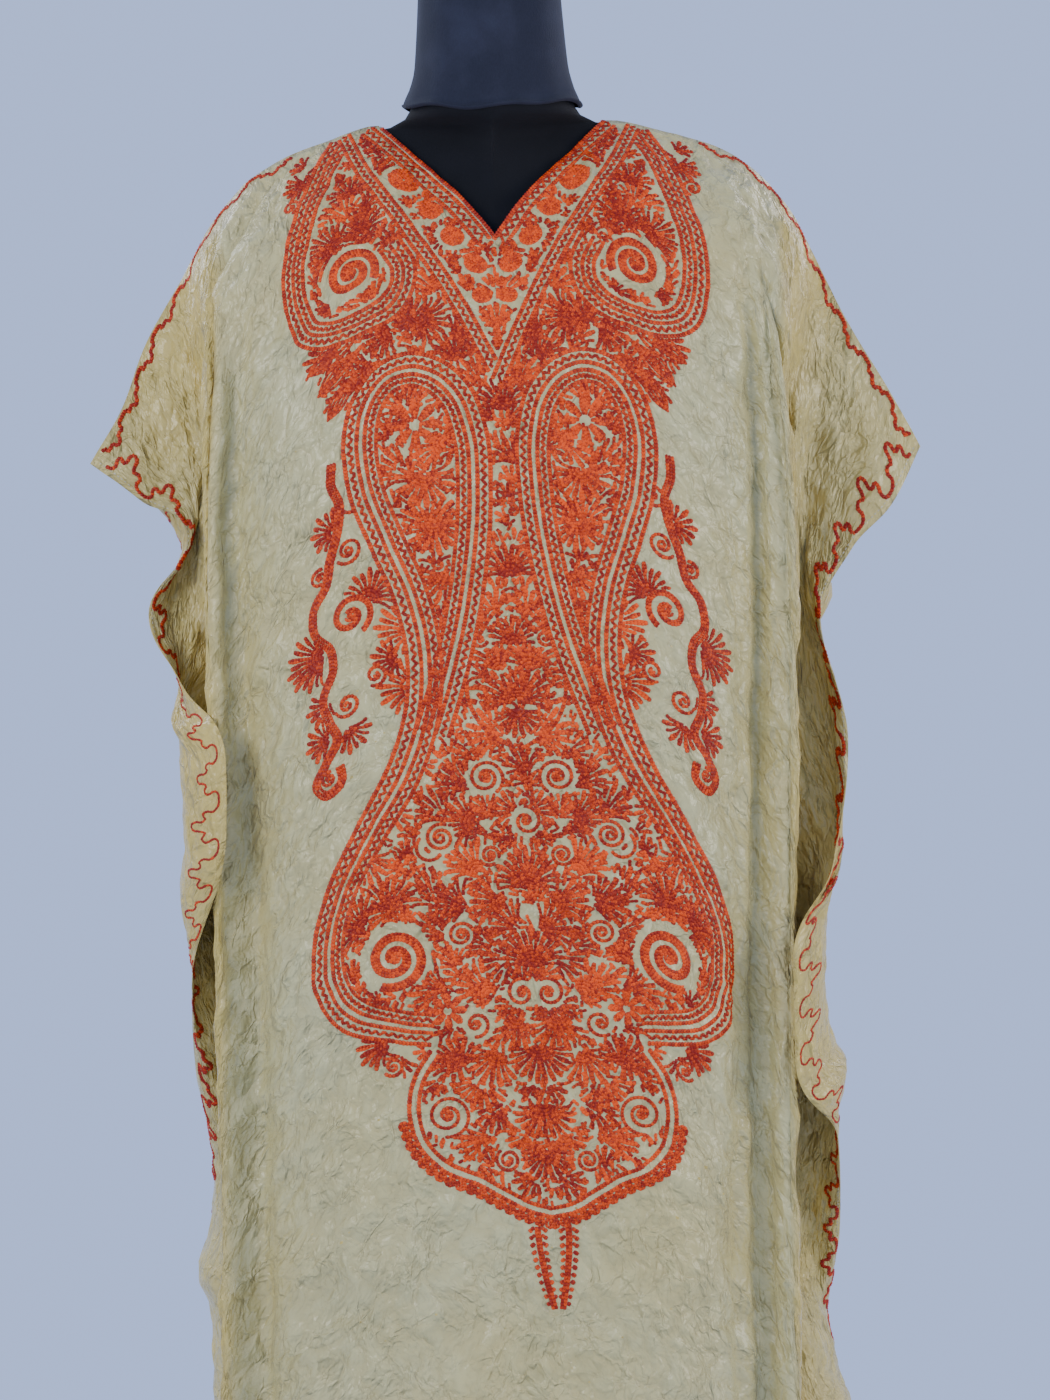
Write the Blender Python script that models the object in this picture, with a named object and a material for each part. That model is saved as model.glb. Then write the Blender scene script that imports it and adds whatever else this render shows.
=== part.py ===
"""A loose kaftan hanging on a limbless dress form with a stand, at real size.

Metres, +Z up. The front faces -Y, and the origin is under the middle of the round base.

Each cloth panel is worked out from its flat cut, a rectangle read by two lengths: `across`, from its
centre line towards a side, and `down`, from the shoulder line towards the hem. Short tables say where
the cloth goes in plan (x to the side, y to the back), and its height follows from its length: whatever
a column of cloth spends on going sideways it does not spend on going down.
"""

import math
from collections import namedtuple

import bmesh
import bpy
import numpy as np

# The flat cut
HALF_WIDTH = 0.48
LENGTH = 1.32
SEAM_AT = 0.335
UNDERARM = 0.28
NECK_HALF = 0.088
V_DEPTH = 0.132
BACK_NECK_DEPTH = 0.062
WALL = 0.0014
GAP = 0.0003

# Heights above the floor
SHOULDER_Z = 1.60
BASE_THICK = 0.022
NECK_TOP_DROP = -0.135

# How the cloth leaves the shoulder: the length it takes for each metre that it comes forward, read
# at one length down, and the least it takes
SETTLE_RATIO = 1.78
SETTLE_LEAST = 0.14
SETTLED_BY = 0.33
WING_TAKES_OVER = 0.06
STEP_DOWN = 0.004
LEAST_FALL = 0.12

# The armhole: how far its two edges stand apart, and the lengths down that open and close it
ARM_ROOM = 0.009
ARM_ROOM_OPENS = 0.035
ARM_ROOM_CLOSES = 0.18
ARM_OPEN_TO = 0.13
ARM_ROOM_STARTS = 0.2

# The shoulder line from the neck to the wing's tip: out, back and below the neck point
Top = namedtuple("Top", "x y drop")
SHOULDER_LINE = {
    "left": (
        Top(0.000, 0.000, 0.008),
        Top(0.088, 0.000, 0.008),
        Top(0.138, 0.000, 0.021),
        Top(0.184, 0.000, 0.041),
        Top(0.217, 0.000, 0.072),
        Top(0.248, -0.004, 0.122),
        Top(0.279, -0.014, 0.175),
        Top(0.297, -0.024, 0.221),
        Top(0.323, -0.034, 0.264),
    ),
    "right": (
        Top(0.000, 0.000, 0.008),
        Top(0.088, 0.000, 0.008),
        Top(0.138, 0.000, 0.019),
        Top(0.187, 0.000, 0.037),
        Top(0.226, 0.000, 0.074),
        Top(0.250, -0.003, 0.118),
        Top(0.273, -0.010, 0.167),
        Top(0.305, -0.018, 0.223),
        Top(0.329, -0.026, 0.269),
    ),
}

# Where the named folds of the front lie in the flat cut
Fold = namedtuple("Fold", "flat valley tube")
FRONT_FOLDS = {"left": Fold(0.186, 0.211, 0.246), "right": Fold(0.174, 0.198, 0.234)}
BACK_FOLDS = {"left": Fold(0.150, 0.190, 0.235), "right": Fold(0.150, 0.190, 0.235)}

# Plan places of those folds at a few lengths down
Section = namedtuple("Section", "down centre flat_x flat_y valley_x valley_y tube_x tube_y seam_x seam_y")
FRONT_SECTIONS = {
    "left": (
        Section(0.16, -0.138, 0.172, -0.100, 0.192, -0.086, 0.219, -0.094, 0.220, -0.030),
        Section(0.30, -0.146, 0.184, -0.112, 0.202, -0.094, 0.228, -0.104, 0.210, -0.032),
        Section(0.55, -0.150, 0.184, -0.118, 0.202, -0.096, 0.229, -0.110, 0.204, -0.034),
        Section(0.90, -0.152, 0.188, -0.120, 0.208, -0.098, 0.236, -0.112, 0.210, -0.036),
        Section(1.32, -0.158, 0.196, -0.124, 0.220, -0.100, 0.252, -0.114, 0.224, -0.036),
    ),
    "right": (
        Section(0.16, -0.138, 0.166, -0.102, 0.190, -0.088, 0.214, -0.094, 0.220, -0.030),
        Section(0.30, -0.146, 0.172, -0.112, 0.194, -0.094, 0.220, -0.104, 0.210, -0.032),
        Section(0.55, -0.150, 0.170, -0.118, 0.186, -0.096, 0.214, -0.110, 0.204, -0.034),
        Section(0.90, -0.152, 0.166, -0.122, 0.180, -0.098, 0.208, -0.114, 0.202, -0.036),
        Section(1.32, -0.158, 0.168, -0.126, 0.184, -0.100, 0.214, -0.118, 0.210, -0.036),
    ),
}
BACK_SECTIONS = {
    side: (
        Section(0.16, 0.112, 0.150, 0.092, 0.184, 0.070, 0.202, 0.040, 0.214, 0.010),
        Section(0.30, 0.118, 0.152, 0.104, 0.182, 0.078, 0.180, 0.034, 0.210, -0.032),
        Section(0.55, 0.114, 0.152, 0.102, 0.180, 0.076, 0.174, 0.030, 0.204, -0.034),
        Section(0.90, 0.120, 0.154, 0.108, 0.182, 0.082, 0.178, 0.034, 0.210, -0.036),
        Section(1.32, 0.128, 0.158, 0.116, 0.190, 0.088, 0.186, 0.036, 0.224, -0.036),
    )
    for side in ("left", "right")
}

# Plan places of a free flap's edge, and how the flap gets there: `bow` turns it forward in one arc and
# `snake` lets it wave, both in degrees. They grow together until the flap's width is used up
Flap = namedtuple("Flap", "down edge_x edge_y bow snake")
FLAPS = {
    ("front", "left"): (
        Flap(0.05, 0.284, -0.032, 0, -20),
        Flap(0.10, 0.248, -0.036, 0, -30),
        Flap(0.17, 0.280, -0.046, 0, -50),
        Flap(0.23, 0.256, -0.074, 90, -20),
        Flap(0.32, 0.218, -0.128, 180, 0),
        Flap(0.38, 0.220, -0.128, 180, 0),
        Flap(0.51, 0.254, -0.086, 100, 0),
        Flap(0.63, 0.260, -0.015, 0, -20),
        Flap(0.72, 0.248, 0.040, -100, 0),
        Flap(0.84, 0.236, 0.075, -180, 0),
        Flap(1.32, 0.242, 0.082, -180, 0),
    ),
    ("front", "right"): (
        Flap(0.05, 0.306, -0.028, 0, -20),
        Flap(0.10, 0.272, -0.034, 0, -30),
        Flap(0.16, 0.246, -0.044, 0, -40),
        Flap(0.26, 0.266, -0.052, 0, -50),
        Flap(0.36, 0.250, -0.088, 110, -20),
        Flap(0.45, 0.214, -0.130, 180, 0),
        Flap(0.53, 0.214, -0.132, 180, 0),
        Flap(0.63, 0.250, -0.084, 90, -10),
        Flap(0.74, 0.255, -0.020, 0, -30),
        Flap(0.85, 0.244, 0.040, -100, 0),
        Flap(0.97, 0.232, 0.075, -180, 0),
        Flap(1.32, 0.232, 0.082, -180, 0),
    ),
    ("back", "left"): (
        Flap(0.06, 0.300, 0.015, -40, 0),
        Flap(0.14, 0.262, 0.060, -90, 0),
        Flap(0.24, 0.230, 0.086, -150, 0),
        Flap(1.32, 0.234, 0.092, -150, 0),
    ),
    ("back", "right"): (
        Flap(0.06, 0.304, 0.020, -40, 0),
        Flap(0.14, 0.264, 0.062, -90, 0),
        Flap(0.24, 0.230, 0.086, -150, 0),
        Flap(1.32, 0.230, 0.092, -150, 0),
    ),
}
FLAP_STEPS = 24
MOST_BENT = 1.1
BEND_TRIES = 14

# How many columns and rows of cloth the walls are built from
Count = namedtuple("Count", "to_neck to_flat to_valley to_tube to_seam to_edge")
COLUMNS = {"front": Count(3, 3, 2, 4, 4, 8), "back": Count(3, 2, 2, 2, 3, 5)}
Rows = namedtuple("Rows", "to_underarm to_middle to_hem")
ROWS = Rows(11, 18, 3)
MIDDLE = 0.90

# The form's rings: below the neck point, half width, how far it reaches forward and back, and how
# square it is (2 is an oval, less is pointed at the shoulders)
Ring = namedtuple("Ring", "drop half_width front back corner")
BODY_RINGS = (
    Ring(0.0110, 0.086, 0.066, 0.034, 0.80),
    Ring(0.0152, 0.119, 0.066, 0.034, 0.70),
    Ring(0.0225, 0.137, 0.064, 0.036, 0.70),
    Ring(0.0315, 0.157, 0.064, 0.040, 0.76),
    Ring(0.0445, 0.173, 0.065, 0.046, 0.88),
    Ring(0.0660, 0.185, 0.072, 0.056, 1.20),
    Ring(0.0980, 0.190, 0.088, 0.066, 1.70),
    Ring(0.1350, 0.182, 0.102, 0.076, 2.00),
    Ring(0.1900, 0.168, 0.114, 0.082, 2.20),
    Ring(0.2600, 0.160, 0.122, 0.084, 2.30),
    Ring(0.3400, 0.146, 0.108, 0.078, 2.30),
    Ring(0.4300, 0.128, 0.092, 0.072, 2.30),
    Ring(0.5300, 0.146, 0.098, 0.080, 2.30),
    Ring(0.6300, 0.158, 0.102, 0.086, 2.30),
    Ring(0.7300, 0.160, 0.102, 0.086, 2.30),
)
NECK_RINGS = (
    Ring(NECK_TOP_DROP, 0.051, 0.060, 0.032, 2.00),
    Ring(-0.0700, 0.055, 0.063, 0.034, 2.00),
    Ring(-0.0200, 0.060, 0.067, 0.034, 2.00),
    Ring(0.0010, 0.067, 0.070, 0.034, 2.00),
)
RING_POINTS = 24

POLE_RADIUS = 0.014
BASE_RADIUS = 0.165
COVER_WALL = 0.0016
COVER_ROOM = 0.0007
COVER_HEM = Ring(-0.0060, 0.0645, 0.0690, 0.034, 2.00)
COVER_TOP_BELOW = 0.002
CAP_HEIGHT = 0.020
CAP_SHARES = (0.0, 0.35, 0.7, 0.9, 1.0)
CAP_TOP_SHARE = 0.17

# The base's profile as shares of its radius and thickness, top first
BASE_PROFILE = ((0.35, 1.00), (0.93, 0.60), (1.00, 0.35), (1.00, 0.14), (0.98, 0.00))

Look = namedtuple("Look", "colour roughness metallic")
SILK = Look((0.62, 0.56, 0.38), 0.45, 0.0)
JERSEY = Look((0.012, 0.012, 0.014), 0.85, 0.0)
KNIT = Look((0.020, 0.026, 0.050), 0.9, 0.0)
WOOD = Look((0.22, 0.12, 0.06), 0.45, 0.0)
METAL = Look((0.30, 0.30, 0.31), 0.35, 1.0)


def clear_scene():
    """Removes whatever the scene starts with."""
    for thing in list(bpy.data.objects):
        bpy.data.objects.remove(thing, do_unlink=True)


def curve_through(places, values, where, swings=False):
    """Reads a smooth curve through rows of values at uneven places, that may swing past them or not."""
    places, values, where = (np.asarray(each, float) for each in (places, values, where))
    spans = np.diff(places)[:, None]
    rises = np.diff(values, axis=0) / spans
    if swings:
        slopes = np.gradient(values, places, axis=0)
    else:
        before, after = rises[:-1], rises[1:]
        turns = before * after <= 0
        shared = np.where(turns, 0, 2 * before * after / (before + after + turns))
        slopes = np.vstack([rises[:1], shared, rises[-1:]])
    start = np.clip(np.searchsorted(places, where, side="right") - 1, 0, len(places) - 2)
    span = spans[start]
    t = np.clip((where - places[start])[:, None] / span, 0.0, 1.0)
    return (
        (2 * t**3 - 3 * t**2 + 1) * values[start]
        + (t**3 - 2 * t**2 + t) * span * slopes[start]
        + (3 * t**2 - 2 * t**3) * values[start + 1]
        + (t**3 - t**2) * span * slopes[start + 1]
    )


def eased(x):
    """Runs smoothly from 0 to 1 as x does."""
    x = np.clip(x, 0.0, 1.0)
    return x * x * (3 - 2 * x)


def shoulder_points(side, across):
    """Places along the shoulder line, read by its length: x, y and drop."""
    line = np.array(SHOULDER_LINE[side])
    lengths = np.concatenate([[0.0], np.cumsum(np.linalg.norm(np.diff(line, axis=0), axis=1))])
    lengths[2:] = NECK_HALF + (lengths[2:] - NECK_HALF) * (HALF_WIDTH - NECK_HALF) / (
        lengths[-1] - NECK_HALF
    )
    return curve_through(lengths, line, across)


def folds_of(panel, side):
    """Cloth places of the named folds, from the centre line to the seam."""
    fold = (FRONT_FOLDS if panel == "front" else BACK_FOLDS)[side]
    return [0.0, fold.flat, fold.valley, fold.tube, SEAM_AT]


def sections_of(panel, side, down):
    """The named plan places of a half panel for each length down."""
    table = np.array((FRONT_SECTIONS if panel == "front" else BACK_SECTIONS)[side])
    return curve_through(table[:, 0], table[:, 1:], down)


def body_plan(panel, side, across, down):
    """Plan places of the cloth between the centre line and the seam, for each length down."""
    rows = sections_of(panel, side, down)
    if panel == "back":
        sewn = eased((down - ARM_OPEN_TO) / (UNDERARM - ARM_OPEN_TO))[:, None]
        rows[:, 7:] += (sections_of("front", side, down)[:, 7:] - rows[:, 7:]) * sewn
    plan = np.empty((len(down), len(across), 2))
    for index, row in enumerate(rows):
        named = np.array([[0.0, row[0]], row[1:3], row[3:5], row[5:7], row[7:9]])
        mirrored = np.vstack([[-named[1, 0], named[1, 1]], named])
        places = [-folds_of(panel, side)[1], *folds_of(panel, side)]
        plan[index] = curve_through(places, mirrored, across, swings=True)
    return plan


def flap_edges(panel, side, edge_top, down):
    """Plan places of a flap's edge, and its bow and snake, for each length down from the wing's tip."""
    table = np.array(FLAPS[panel, side], float)
    places = np.concatenate([[0.0], table[:, 0]])
    values = np.vstack([[*edge_top[:2], 0.0, 0.0], table[:, 1:]])
    read = curve_through(places, values, down)
    return read[:, :2], np.radians(read[:, 2:])


def flap_path(chord, length, bow, snake):
    """Plan steps along a flap that spans a chord with more cloth than it needs."""
    share = (np.arange(FLAP_STEPS) + 0.5) / FLAP_STEPS
    bend = bow * (share - 0.5) + snake * np.sin(2 * math.pi * share)
    low, high = 0.0, MOST_BENT
    for _ in range(BEND_TRIES):
        steps = np.exp(-1j * bend * (low + high) / 2) * (length / FLAP_STEPS)
        if abs(steps.sum()) > np.hypot(*chord):
            low = (low + high) / 2
        else:
            high = (low + high) / 2
    steps *= complex(*chord) / steps.sum()
    path = np.concatenate([[0], np.cumsum(steps)])
    return np.stack([path.real, path.imag], axis=-1)


def fall_of(aside):
    """How far a short length of cloth falls when it goes this far aside."""
    return np.sqrt(np.maximum(STEP_DOWN**2 - aside**2, (LEAST_FALL * STEP_DOWN) ** 2))


def hang(panel, side, across):
    """A fine drape of one half panel: lengths down, and x, y, drop for each length and column."""
    asked = len(across)
    across = np.append(np.asarray(across, float), [SEAM_AT, HALF_WIDTH])
    down = np.arange(0.0, LENGTH + STEP_DOWN / 2, STEP_DOWN)
    top = shoulder_points(side, across)
    seam_top, edge_top = top[-2:]
    free = across > SEAM_AT
    body = body_plan(panel, side, np.minimum(across, SEAM_AT), down)
    depth = np.abs(body[int(SETTLED_BY / STEP_DOWN), :, 1])
    settle = np.maximum(depth * SETTLE_RATIO, SETTLE_LEAST)
    settled = np.sin(np.clip(down[:, None] / settle, 0, 1) * math.pi / 2)[..., None]
    plan = np.where(free[:, None], seam_top[:2], top[:, :2]) * (1 - settled) + body * settled
    sign = 1 if panel == "front" else -1
    near_seam = eased((across - ARM_ROOM_STARTS) / (SEAM_AT - ARM_ROOM_STARTS))
    closing = eased((UNDERARM - down) / (UNDERARM - ARM_ROOM_CLOSES))
    room = ARM_ROOM * eased(down / ARM_ROOM_OPENS) * closing
    forward = -sign * ((WALL + GAP) / 2 + room)
    plan[..., 1] += forward[:, None] * near_seam
    edges, bends = flap_edges(panel, side, edge_top, down)
    edges[:, 1] += forward
    width = HALF_WIDTH - SEAM_AT
    at = (across[free] - SEAM_AT) / width * FLAP_STEPS
    straight = (across[free, None] - SEAM_AT) / width * (edge_top - seam_top)[:2]
    sagging = top[free, :2] - seam_top[:2] - straight
    drop = np.empty(plan.shape[:2])
    drop[0] = top[:, 2]
    for index in range(len(down)):
        dip = drop[max(index - 1, 0), -1] - drop[max(index - 1, 0), -2]
        chord = edges[index] - plan[index, -2]
        length = max(math.sqrt(max(width**2 - dip**2, 0.0)), np.hypot(*chord) * 1.001)
        path = flap_path(chord, length, *bends[index])
        steps = np.arange(FLAP_STEPS + 1)
        offset = np.stack([np.interp(at, steps, path[:, axis]) for axis in (0, 1)], axis=-1)
        plan[index, free] += offset + sagging * (1 - eased(down[index] / WING_TAKES_OVER))
        if index:
            moved = np.linalg.norm(plan[index] - plan[index - 1], axis=1)
            drop[index] = drop[index - 1] + fall_of(moved)
    return down, np.concatenate([plan, drop[:, :, None]], axis=2)[:, :asked]


def columns_of(panel, side):
    """Cloth places of a half panel's columns, closest where it folds most."""
    counts = COLUMNS[panel]
    marks = [0.0, NECK_HALF, *folds_of(panel, side)[1:], HALF_WIDTH]
    places = [0.0]
    for start, end, count in zip(marks, marks[1:], counts):
        places.extend(np.linspace(start, end, count + 1)[1:])
    return np.array(places)


def rows_down():
    """Lengths down of the rows, closest near the shoulder."""
    marks = [0.0, UNDERARM, MIDDLE, LENGTH]
    places = [0.0]
    for start, end, count in zip(marks, marks[1:], ROWS):
        places.extend(np.linspace(start, end, count + 1)[1:])
    return np.array(places)


def neck_cut(panel, across):
    """How far down the neck is cut at a place across."""
    share = np.clip(1 - np.abs(across) / NECK_HALF, 0, 1)
    if panel == "front":
        return V_DEPTH * share
    return BACK_NECK_DEPTH * np.sqrt(np.clip(1 - (1 - share) ** 2, 0, 1))


def panel_points(panel):
    """A grid of points on the panel's middle surface, from its left edge to its right edge."""
    down_rows = rows_down()
    halves = {}
    for side in ("left", "right"):
        across = columns_of(panel, side)
        down, drape = hang(panel, side, across)
        if panel == "back":
            drape[:, :, 2] += seam_correction(side, across, down)
        points = np.empty((len(down_rows), len(across), 3))
        for column, place in enumerate(across):
            cut = float(neck_cut(panel, place))
            lengths = down_rows + cut * np.clip(1 - down_rows / UNDERARM, 0, 1)
            for axis in range(3):
                points[:, column, axis] = np.interp(lengths, down, drape[:, column, axis])
        halves[side] = points
    left = halves["left"][:, :0:-1] * (-1, 1, 1)
    grid = np.concatenate([left, halves["right"]], axis=1)
    grid[..., 2] = SHOULDER_Z - grid[..., 2]
    return grid


def seam_correction(side, across, down):
    """Lifts or lowers the back so that its seam meets the front's."""
    front = hang("front", side, [SEAM_AT])[1][:, 0, 2]
    back = hang("back", side, [SEAM_AT])[1][:, 0, 2]
    share = eased(np.minimum(across, SEAM_AT) / SEAM_AT)
    return (front - back)[:, None] * eased(down / UNDERARM)[:, None] * share[None]


def normals_of(grid):
    """Unit normals of a grid of points, pointing away from the hollow."""
    along = np.gradient(grid, axis=1)
    downwards = np.gradient(grid, axis=0)
    normals = np.cross(downwards, along)
    return normals / np.maximum(np.linalg.norm(normals, axis=2, keepdims=True), 1e-9)


def add_object(name, mesh_data, look):
    """Makes a named object with its own material from a bmesh."""
    mesh = bpy.data.meshes.new(name)
    bmesh.ops.triangulate(mesh_data, faces=mesh_data.faces)
    bmesh.ops.recalc_face_normals(mesh_data, faces=mesh_data.faces)
    mesh_data.to_mesh(mesh)
    mesh_data.free()
    mesh.shade_smooth()
    mesh.set_sharp_from_angle(angle=math.radians(50))
    material = bpy.data.materials.new(name)
    material.use_nodes = True
    shader = material.node_tree.nodes["Principled BSDF"]
    shader.inputs["Base Color"].default_value = (*look.colour, 1.0)
    shader.inputs["Roughness"].default_value = look.roughness
    shader.inputs["Metallic"].default_value = look.metallic
    mesh.materials.append(material)
    thing = bpy.data.objects.new(name, mesh)
    bpy.context.collection.objects.link(thing)
    return thing


def cloth_panel(panel):
    """One cloth panel as a closed wall."""
    grid = panel_points(panel)
    normals = normals_of(grid)
    outward = -1 if panel == "front" else 1
    if normals[len(grid) // 2, grid.shape[1] // 2, 1] * outward < 0:
        normals = -normals
    faces = [grid + normals * WALL / 2 * way for way in (1, -1)]
    past = np.maximum(*(-outward * (face[0, :, 1] - grid[0, :, 1]) for face in faces)) + GAP / 2
    for face in faces:
        face[0, :, 1] += outward * past
    shell = bmesh.new()
    outer, inner = ([[shell.verts.new(point) for point in row] for row in face] for face in faces)
    rows, columns = grid.shape[:2]
    for r in range(rows - 1):
        for c in range(columns - 1):
            shell.faces.new((outer[r][c], outer[r + 1][c], outer[r + 1][c + 1], outer[r][c + 1]))
            shell.faces.new((inner[r][c], inner[r][c + 1], inner[r + 1][c + 1], inner[r + 1][c]))
    rim = [(0, c) for c in range(columns)]
    rim += [(r, columns - 1) for r in range(1, rows)]
    rim += [(rows - 1, c) for c in range(columns - 2, -1, -1)]
    rim += [(r, 0) for r in range(rows - 2, 0, -1)]
    for (r, c), (r2, c2) in zip(rim, rim[1:] + rim[:1]):
        shell.faces.new((outer[r][c], outer[r2][c2], inner[r2][c2], inner[r][c]))
    return add_object(f"kaftan_{panel}", shell, SILK)


def ring_points(ring, shift=0.0):
    """A closed ring of the form, a softened oval with its own front and back."""
    points = []
    for step in range(RING_POINTS):
        angle = 2 * math.pi * step / RING_POINTS
        x, y = math.cos(angle), math.sin(angle)
        depth = ring.back if y > 0 else ring.front
        x = math.copysign(abs(x) ** (2 / ring.corner), x) * (ring.half_width + shift)
        y = math.copysign(abs(y) ** (2 / ring.corner), y) * (depth + shift)
        points.append((x, y, SHOULDER_Z - ring.drop))
    return points


def skin(solid, loops, closed=False):
    """Joins loops of points with quads, and caps the ends of an open run."""
    made = [[solid.verts.new(point) for point in loop] for loop in loops]
    pairs = list(zip(made, made[1:]))
    if closed:
        pairs.append((made[-1], made[0]))
    for upper, lower in pairs:
        count = len(upper)
        for index in range(count):
            after = (index + 1) % count
            solid.faces.new((upper[index], lower[index], lower[after], upper[after]))
    if not closed:
        solid.faces.new(made[0])
        solid.faces.new(made[-1][::-1])


def form_body():
    """The jersey-covered body and neck, one smooth solid."""
    solid = bmesh.new()
    skin(solid, [ring_points(ring) for ring in NECK_RINGS + BODY_RINGS])
    return add_object("form_body", solid, JERSEY)


def form_neck_cover():
    """The knitted sleeve over the neck, a thin tube just clear of it."""
    solid = bmesh.new()
    top = NECK_RINGS[0]._replace(drop=NECK_TOP_DROP + COVER_TOP_BELOW)
    rings = [top, *NECK_RINGS[1:-1], COVER_HEM]
    near = [ring_points(ring, COVER_ROOM) for ring in rings]
    far = [ring_points(ring, COVER_ROOM + COVER_WALL) for ring in rings]
    skin(solid, near + far[::-1], closed=True)
    return add_object("form_neck_cover", solid, KNIT)


def form_neck_cap():
    """A shallow domed cap on the neck."""
    top = NECK_RINGS[0]
    solid = bmesh.new()
    loops = []
    for share in CAP_SHARES:
        scale = max(math.sqrt(1 - share**2), CAP_TOP_SHARE)
        drop = top.drop - GAP - CAP_HEIGHT * share
        sides = (top.half_width * scale, top.front * scale, top.back * scale)
        loops.append(ring_points(Ring(drop, *sides, top.corner)))
    skin(solid, loops[::-1])
    return add_object("form_neck_cap", solid, WOOD)


def turned(name, profile, look):
    """A solid turned round the vertical axis from radius and height pairs, top first."""
    solid = bmesh.new()
    loops = [
        [
            (
                radius * math.cos(2 * math.pi * step / RING_POINTS),
                radius * math.sin(2 * math.pi * step / RING_POINTS),
                height,
            )
            for step in range(RING_POINTS)
        ]
        for radius, height in profile
    ]
    skin(solid, loops)
    return add_object(name, solid, look)


def stand():
    """The pole under the body and its round base."""
    body_bottom = SHOULDER_Z - BODY_RINGS[-1].drop
    ends = (body_bottom - GAP, BASE_THICK + GAP)
    turned("stand_pole", [(POLE_RADIUS, end) for end in ends], METAL)
    rings = [(BASE_RADIUS * out, BASE_THICK * up) for out, up in BASE_PROFILE]
    turned("stand_base", rings, METAL)


def main():
    """Builds every piece."""
    clear_scene()
    cloth_panel("front")
    cloth_panel("back")
    form_body()
    form_neck_cover()
    form_neck_cap()
    stand()


main()
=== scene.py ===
import logging
import math
from dataclasses import dataclass, field
from enum import Enum
from typing import Any, NamedTuple, Sequence

import bmesh
import bpy
import numpy as np
from mathutils import Matrix, Vector


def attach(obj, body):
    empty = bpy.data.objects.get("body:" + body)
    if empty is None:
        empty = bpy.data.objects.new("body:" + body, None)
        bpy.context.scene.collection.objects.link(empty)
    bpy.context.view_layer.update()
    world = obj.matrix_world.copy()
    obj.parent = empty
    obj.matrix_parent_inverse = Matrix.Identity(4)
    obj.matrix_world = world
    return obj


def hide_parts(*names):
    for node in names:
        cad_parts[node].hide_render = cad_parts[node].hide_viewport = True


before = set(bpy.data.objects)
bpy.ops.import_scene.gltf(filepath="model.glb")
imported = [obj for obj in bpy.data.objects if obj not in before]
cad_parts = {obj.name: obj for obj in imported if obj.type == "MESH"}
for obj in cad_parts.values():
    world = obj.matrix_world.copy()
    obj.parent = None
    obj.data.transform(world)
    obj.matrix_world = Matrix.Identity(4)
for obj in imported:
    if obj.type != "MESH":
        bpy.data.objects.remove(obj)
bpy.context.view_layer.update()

log = logging.getLogger("kaftan")

# The flat cut of a panel, in metres
HALF_WIDTH = 0.48
LENGTH = 1.32
SEAM_AT = 0.335
UNDERARM = 0.28
NECK_HALF = 0.088
V_DEPTH = 0.132
BACK_NECK_DEPTH = 0.062
CAD_WALL = 0.0014
GAP = 0.0003
SHOULDER_Z = 1.60

# How the cloth leaves the shoulder, as in the solids
SETTLE_RATIO = 1.78
SETTLE_LEAST = 0.14
SETTLED_BY = 0.33
WING_TAKES_OVER = 0.06
STEP_DOWN = 0.004
LEAST_FALL = 0.12
ARM_ROOM = 0.009
ARM_ROOM_OPENS = 0.035
ARM_ROOM_CLOSES = 0.18
ARM_OPEN_TO = 0.13
ARM_ROOM_STARTS = 0.2
FLAP_STEPS = 24
MOST_BENT = 1.1
BEND_TRIES = 14
LEAST_SLACK = 1.001

Grid = np.ndarray
Colour = tuple[float, float, float]


class Panel(Enum):
    """The two cut pieces of the kaftan, each with its outward way along Y."""

    FRONT = -1
    BACK = 1


class Side(Enum):
    """The two halves of a panel, each with its way along X."""

    LEFT = -1
    RIGHT = 1


class Top(NamedTuple):
    """A place on the shoulder line: out, back and below the neck point."""

    x: float
    y: float
    drop: float


class Fold(NamedTuple):
    """Where the named folds lie across the flat cut."""

    flat: float
    valley: float
    tube: float


class Section(NamedTuple):
    """Plan places of the named folds at one length down."""

    down: float
    centre: float
    flat_x: float
    flat_y: float
    valley_x: float
    valley_y: float
    tube_x: float
    tube_y: float
    seam_x: float
    seam_y: float


class Flap(NamedTuple):
    """Plan place of a free flap's edge, and the turns in degrees that take the flap there."""

    down: float
    edge_x: float
    edge_y: float
    bow: float
    snake: float


def rows_of(kind: Any, rows: Sequence[Sequence[Any]]) -> tuple[Any, ...]:
    """Gives the columns of plain rows of numbers their names."""
    return tuple(kind(*row) for row in rows)


SHOULDER_LINE = {
    Side.LEFT: rows_of(Top, (
        (0.000, 0.000, 0.008), (0.088, 0.000, 0.008), (0.138, 0.000, 0.021), (0.184, 0.000, 0.041),
        (0.217, 0.000, 0.072), (0.248, -0.004, 0.122), (0.279, -0.014, 0.175), (0.297, -0.024, 0.221),
        (0.323, -0.034, 0.264),
    )),
    Side.RIGHT: rows_of(Top, (
        (0.000, 0.000, 0.008), (0.088, 0.000, 0.008), (0.138, 0.000, 0.019), (0.187, 0.000, 0.037),
        (0.226, 0.000, 0.074), (0.250, -0.003, 0.118), (0.273, -0.010, 0.167), (0.305, -0.018, 0.223),
        (0.329, -0.026, 0.269),
    )),
}
FOLDS = {
    (Panel.FRONT, Side.LEFT): Fold(0.186, 0.211, 0.246),
    (Panel.FRONT, Side.RIGHT): Fold(0.174, 0.198, 0.234),
    (Panel.BACK, Side.LEFT): Fold(0.150, 0.190, 0.235),
    (Panel.BACK, Side.RIGHT): Fold(0.150, 0.190, 0.235),
}
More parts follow.
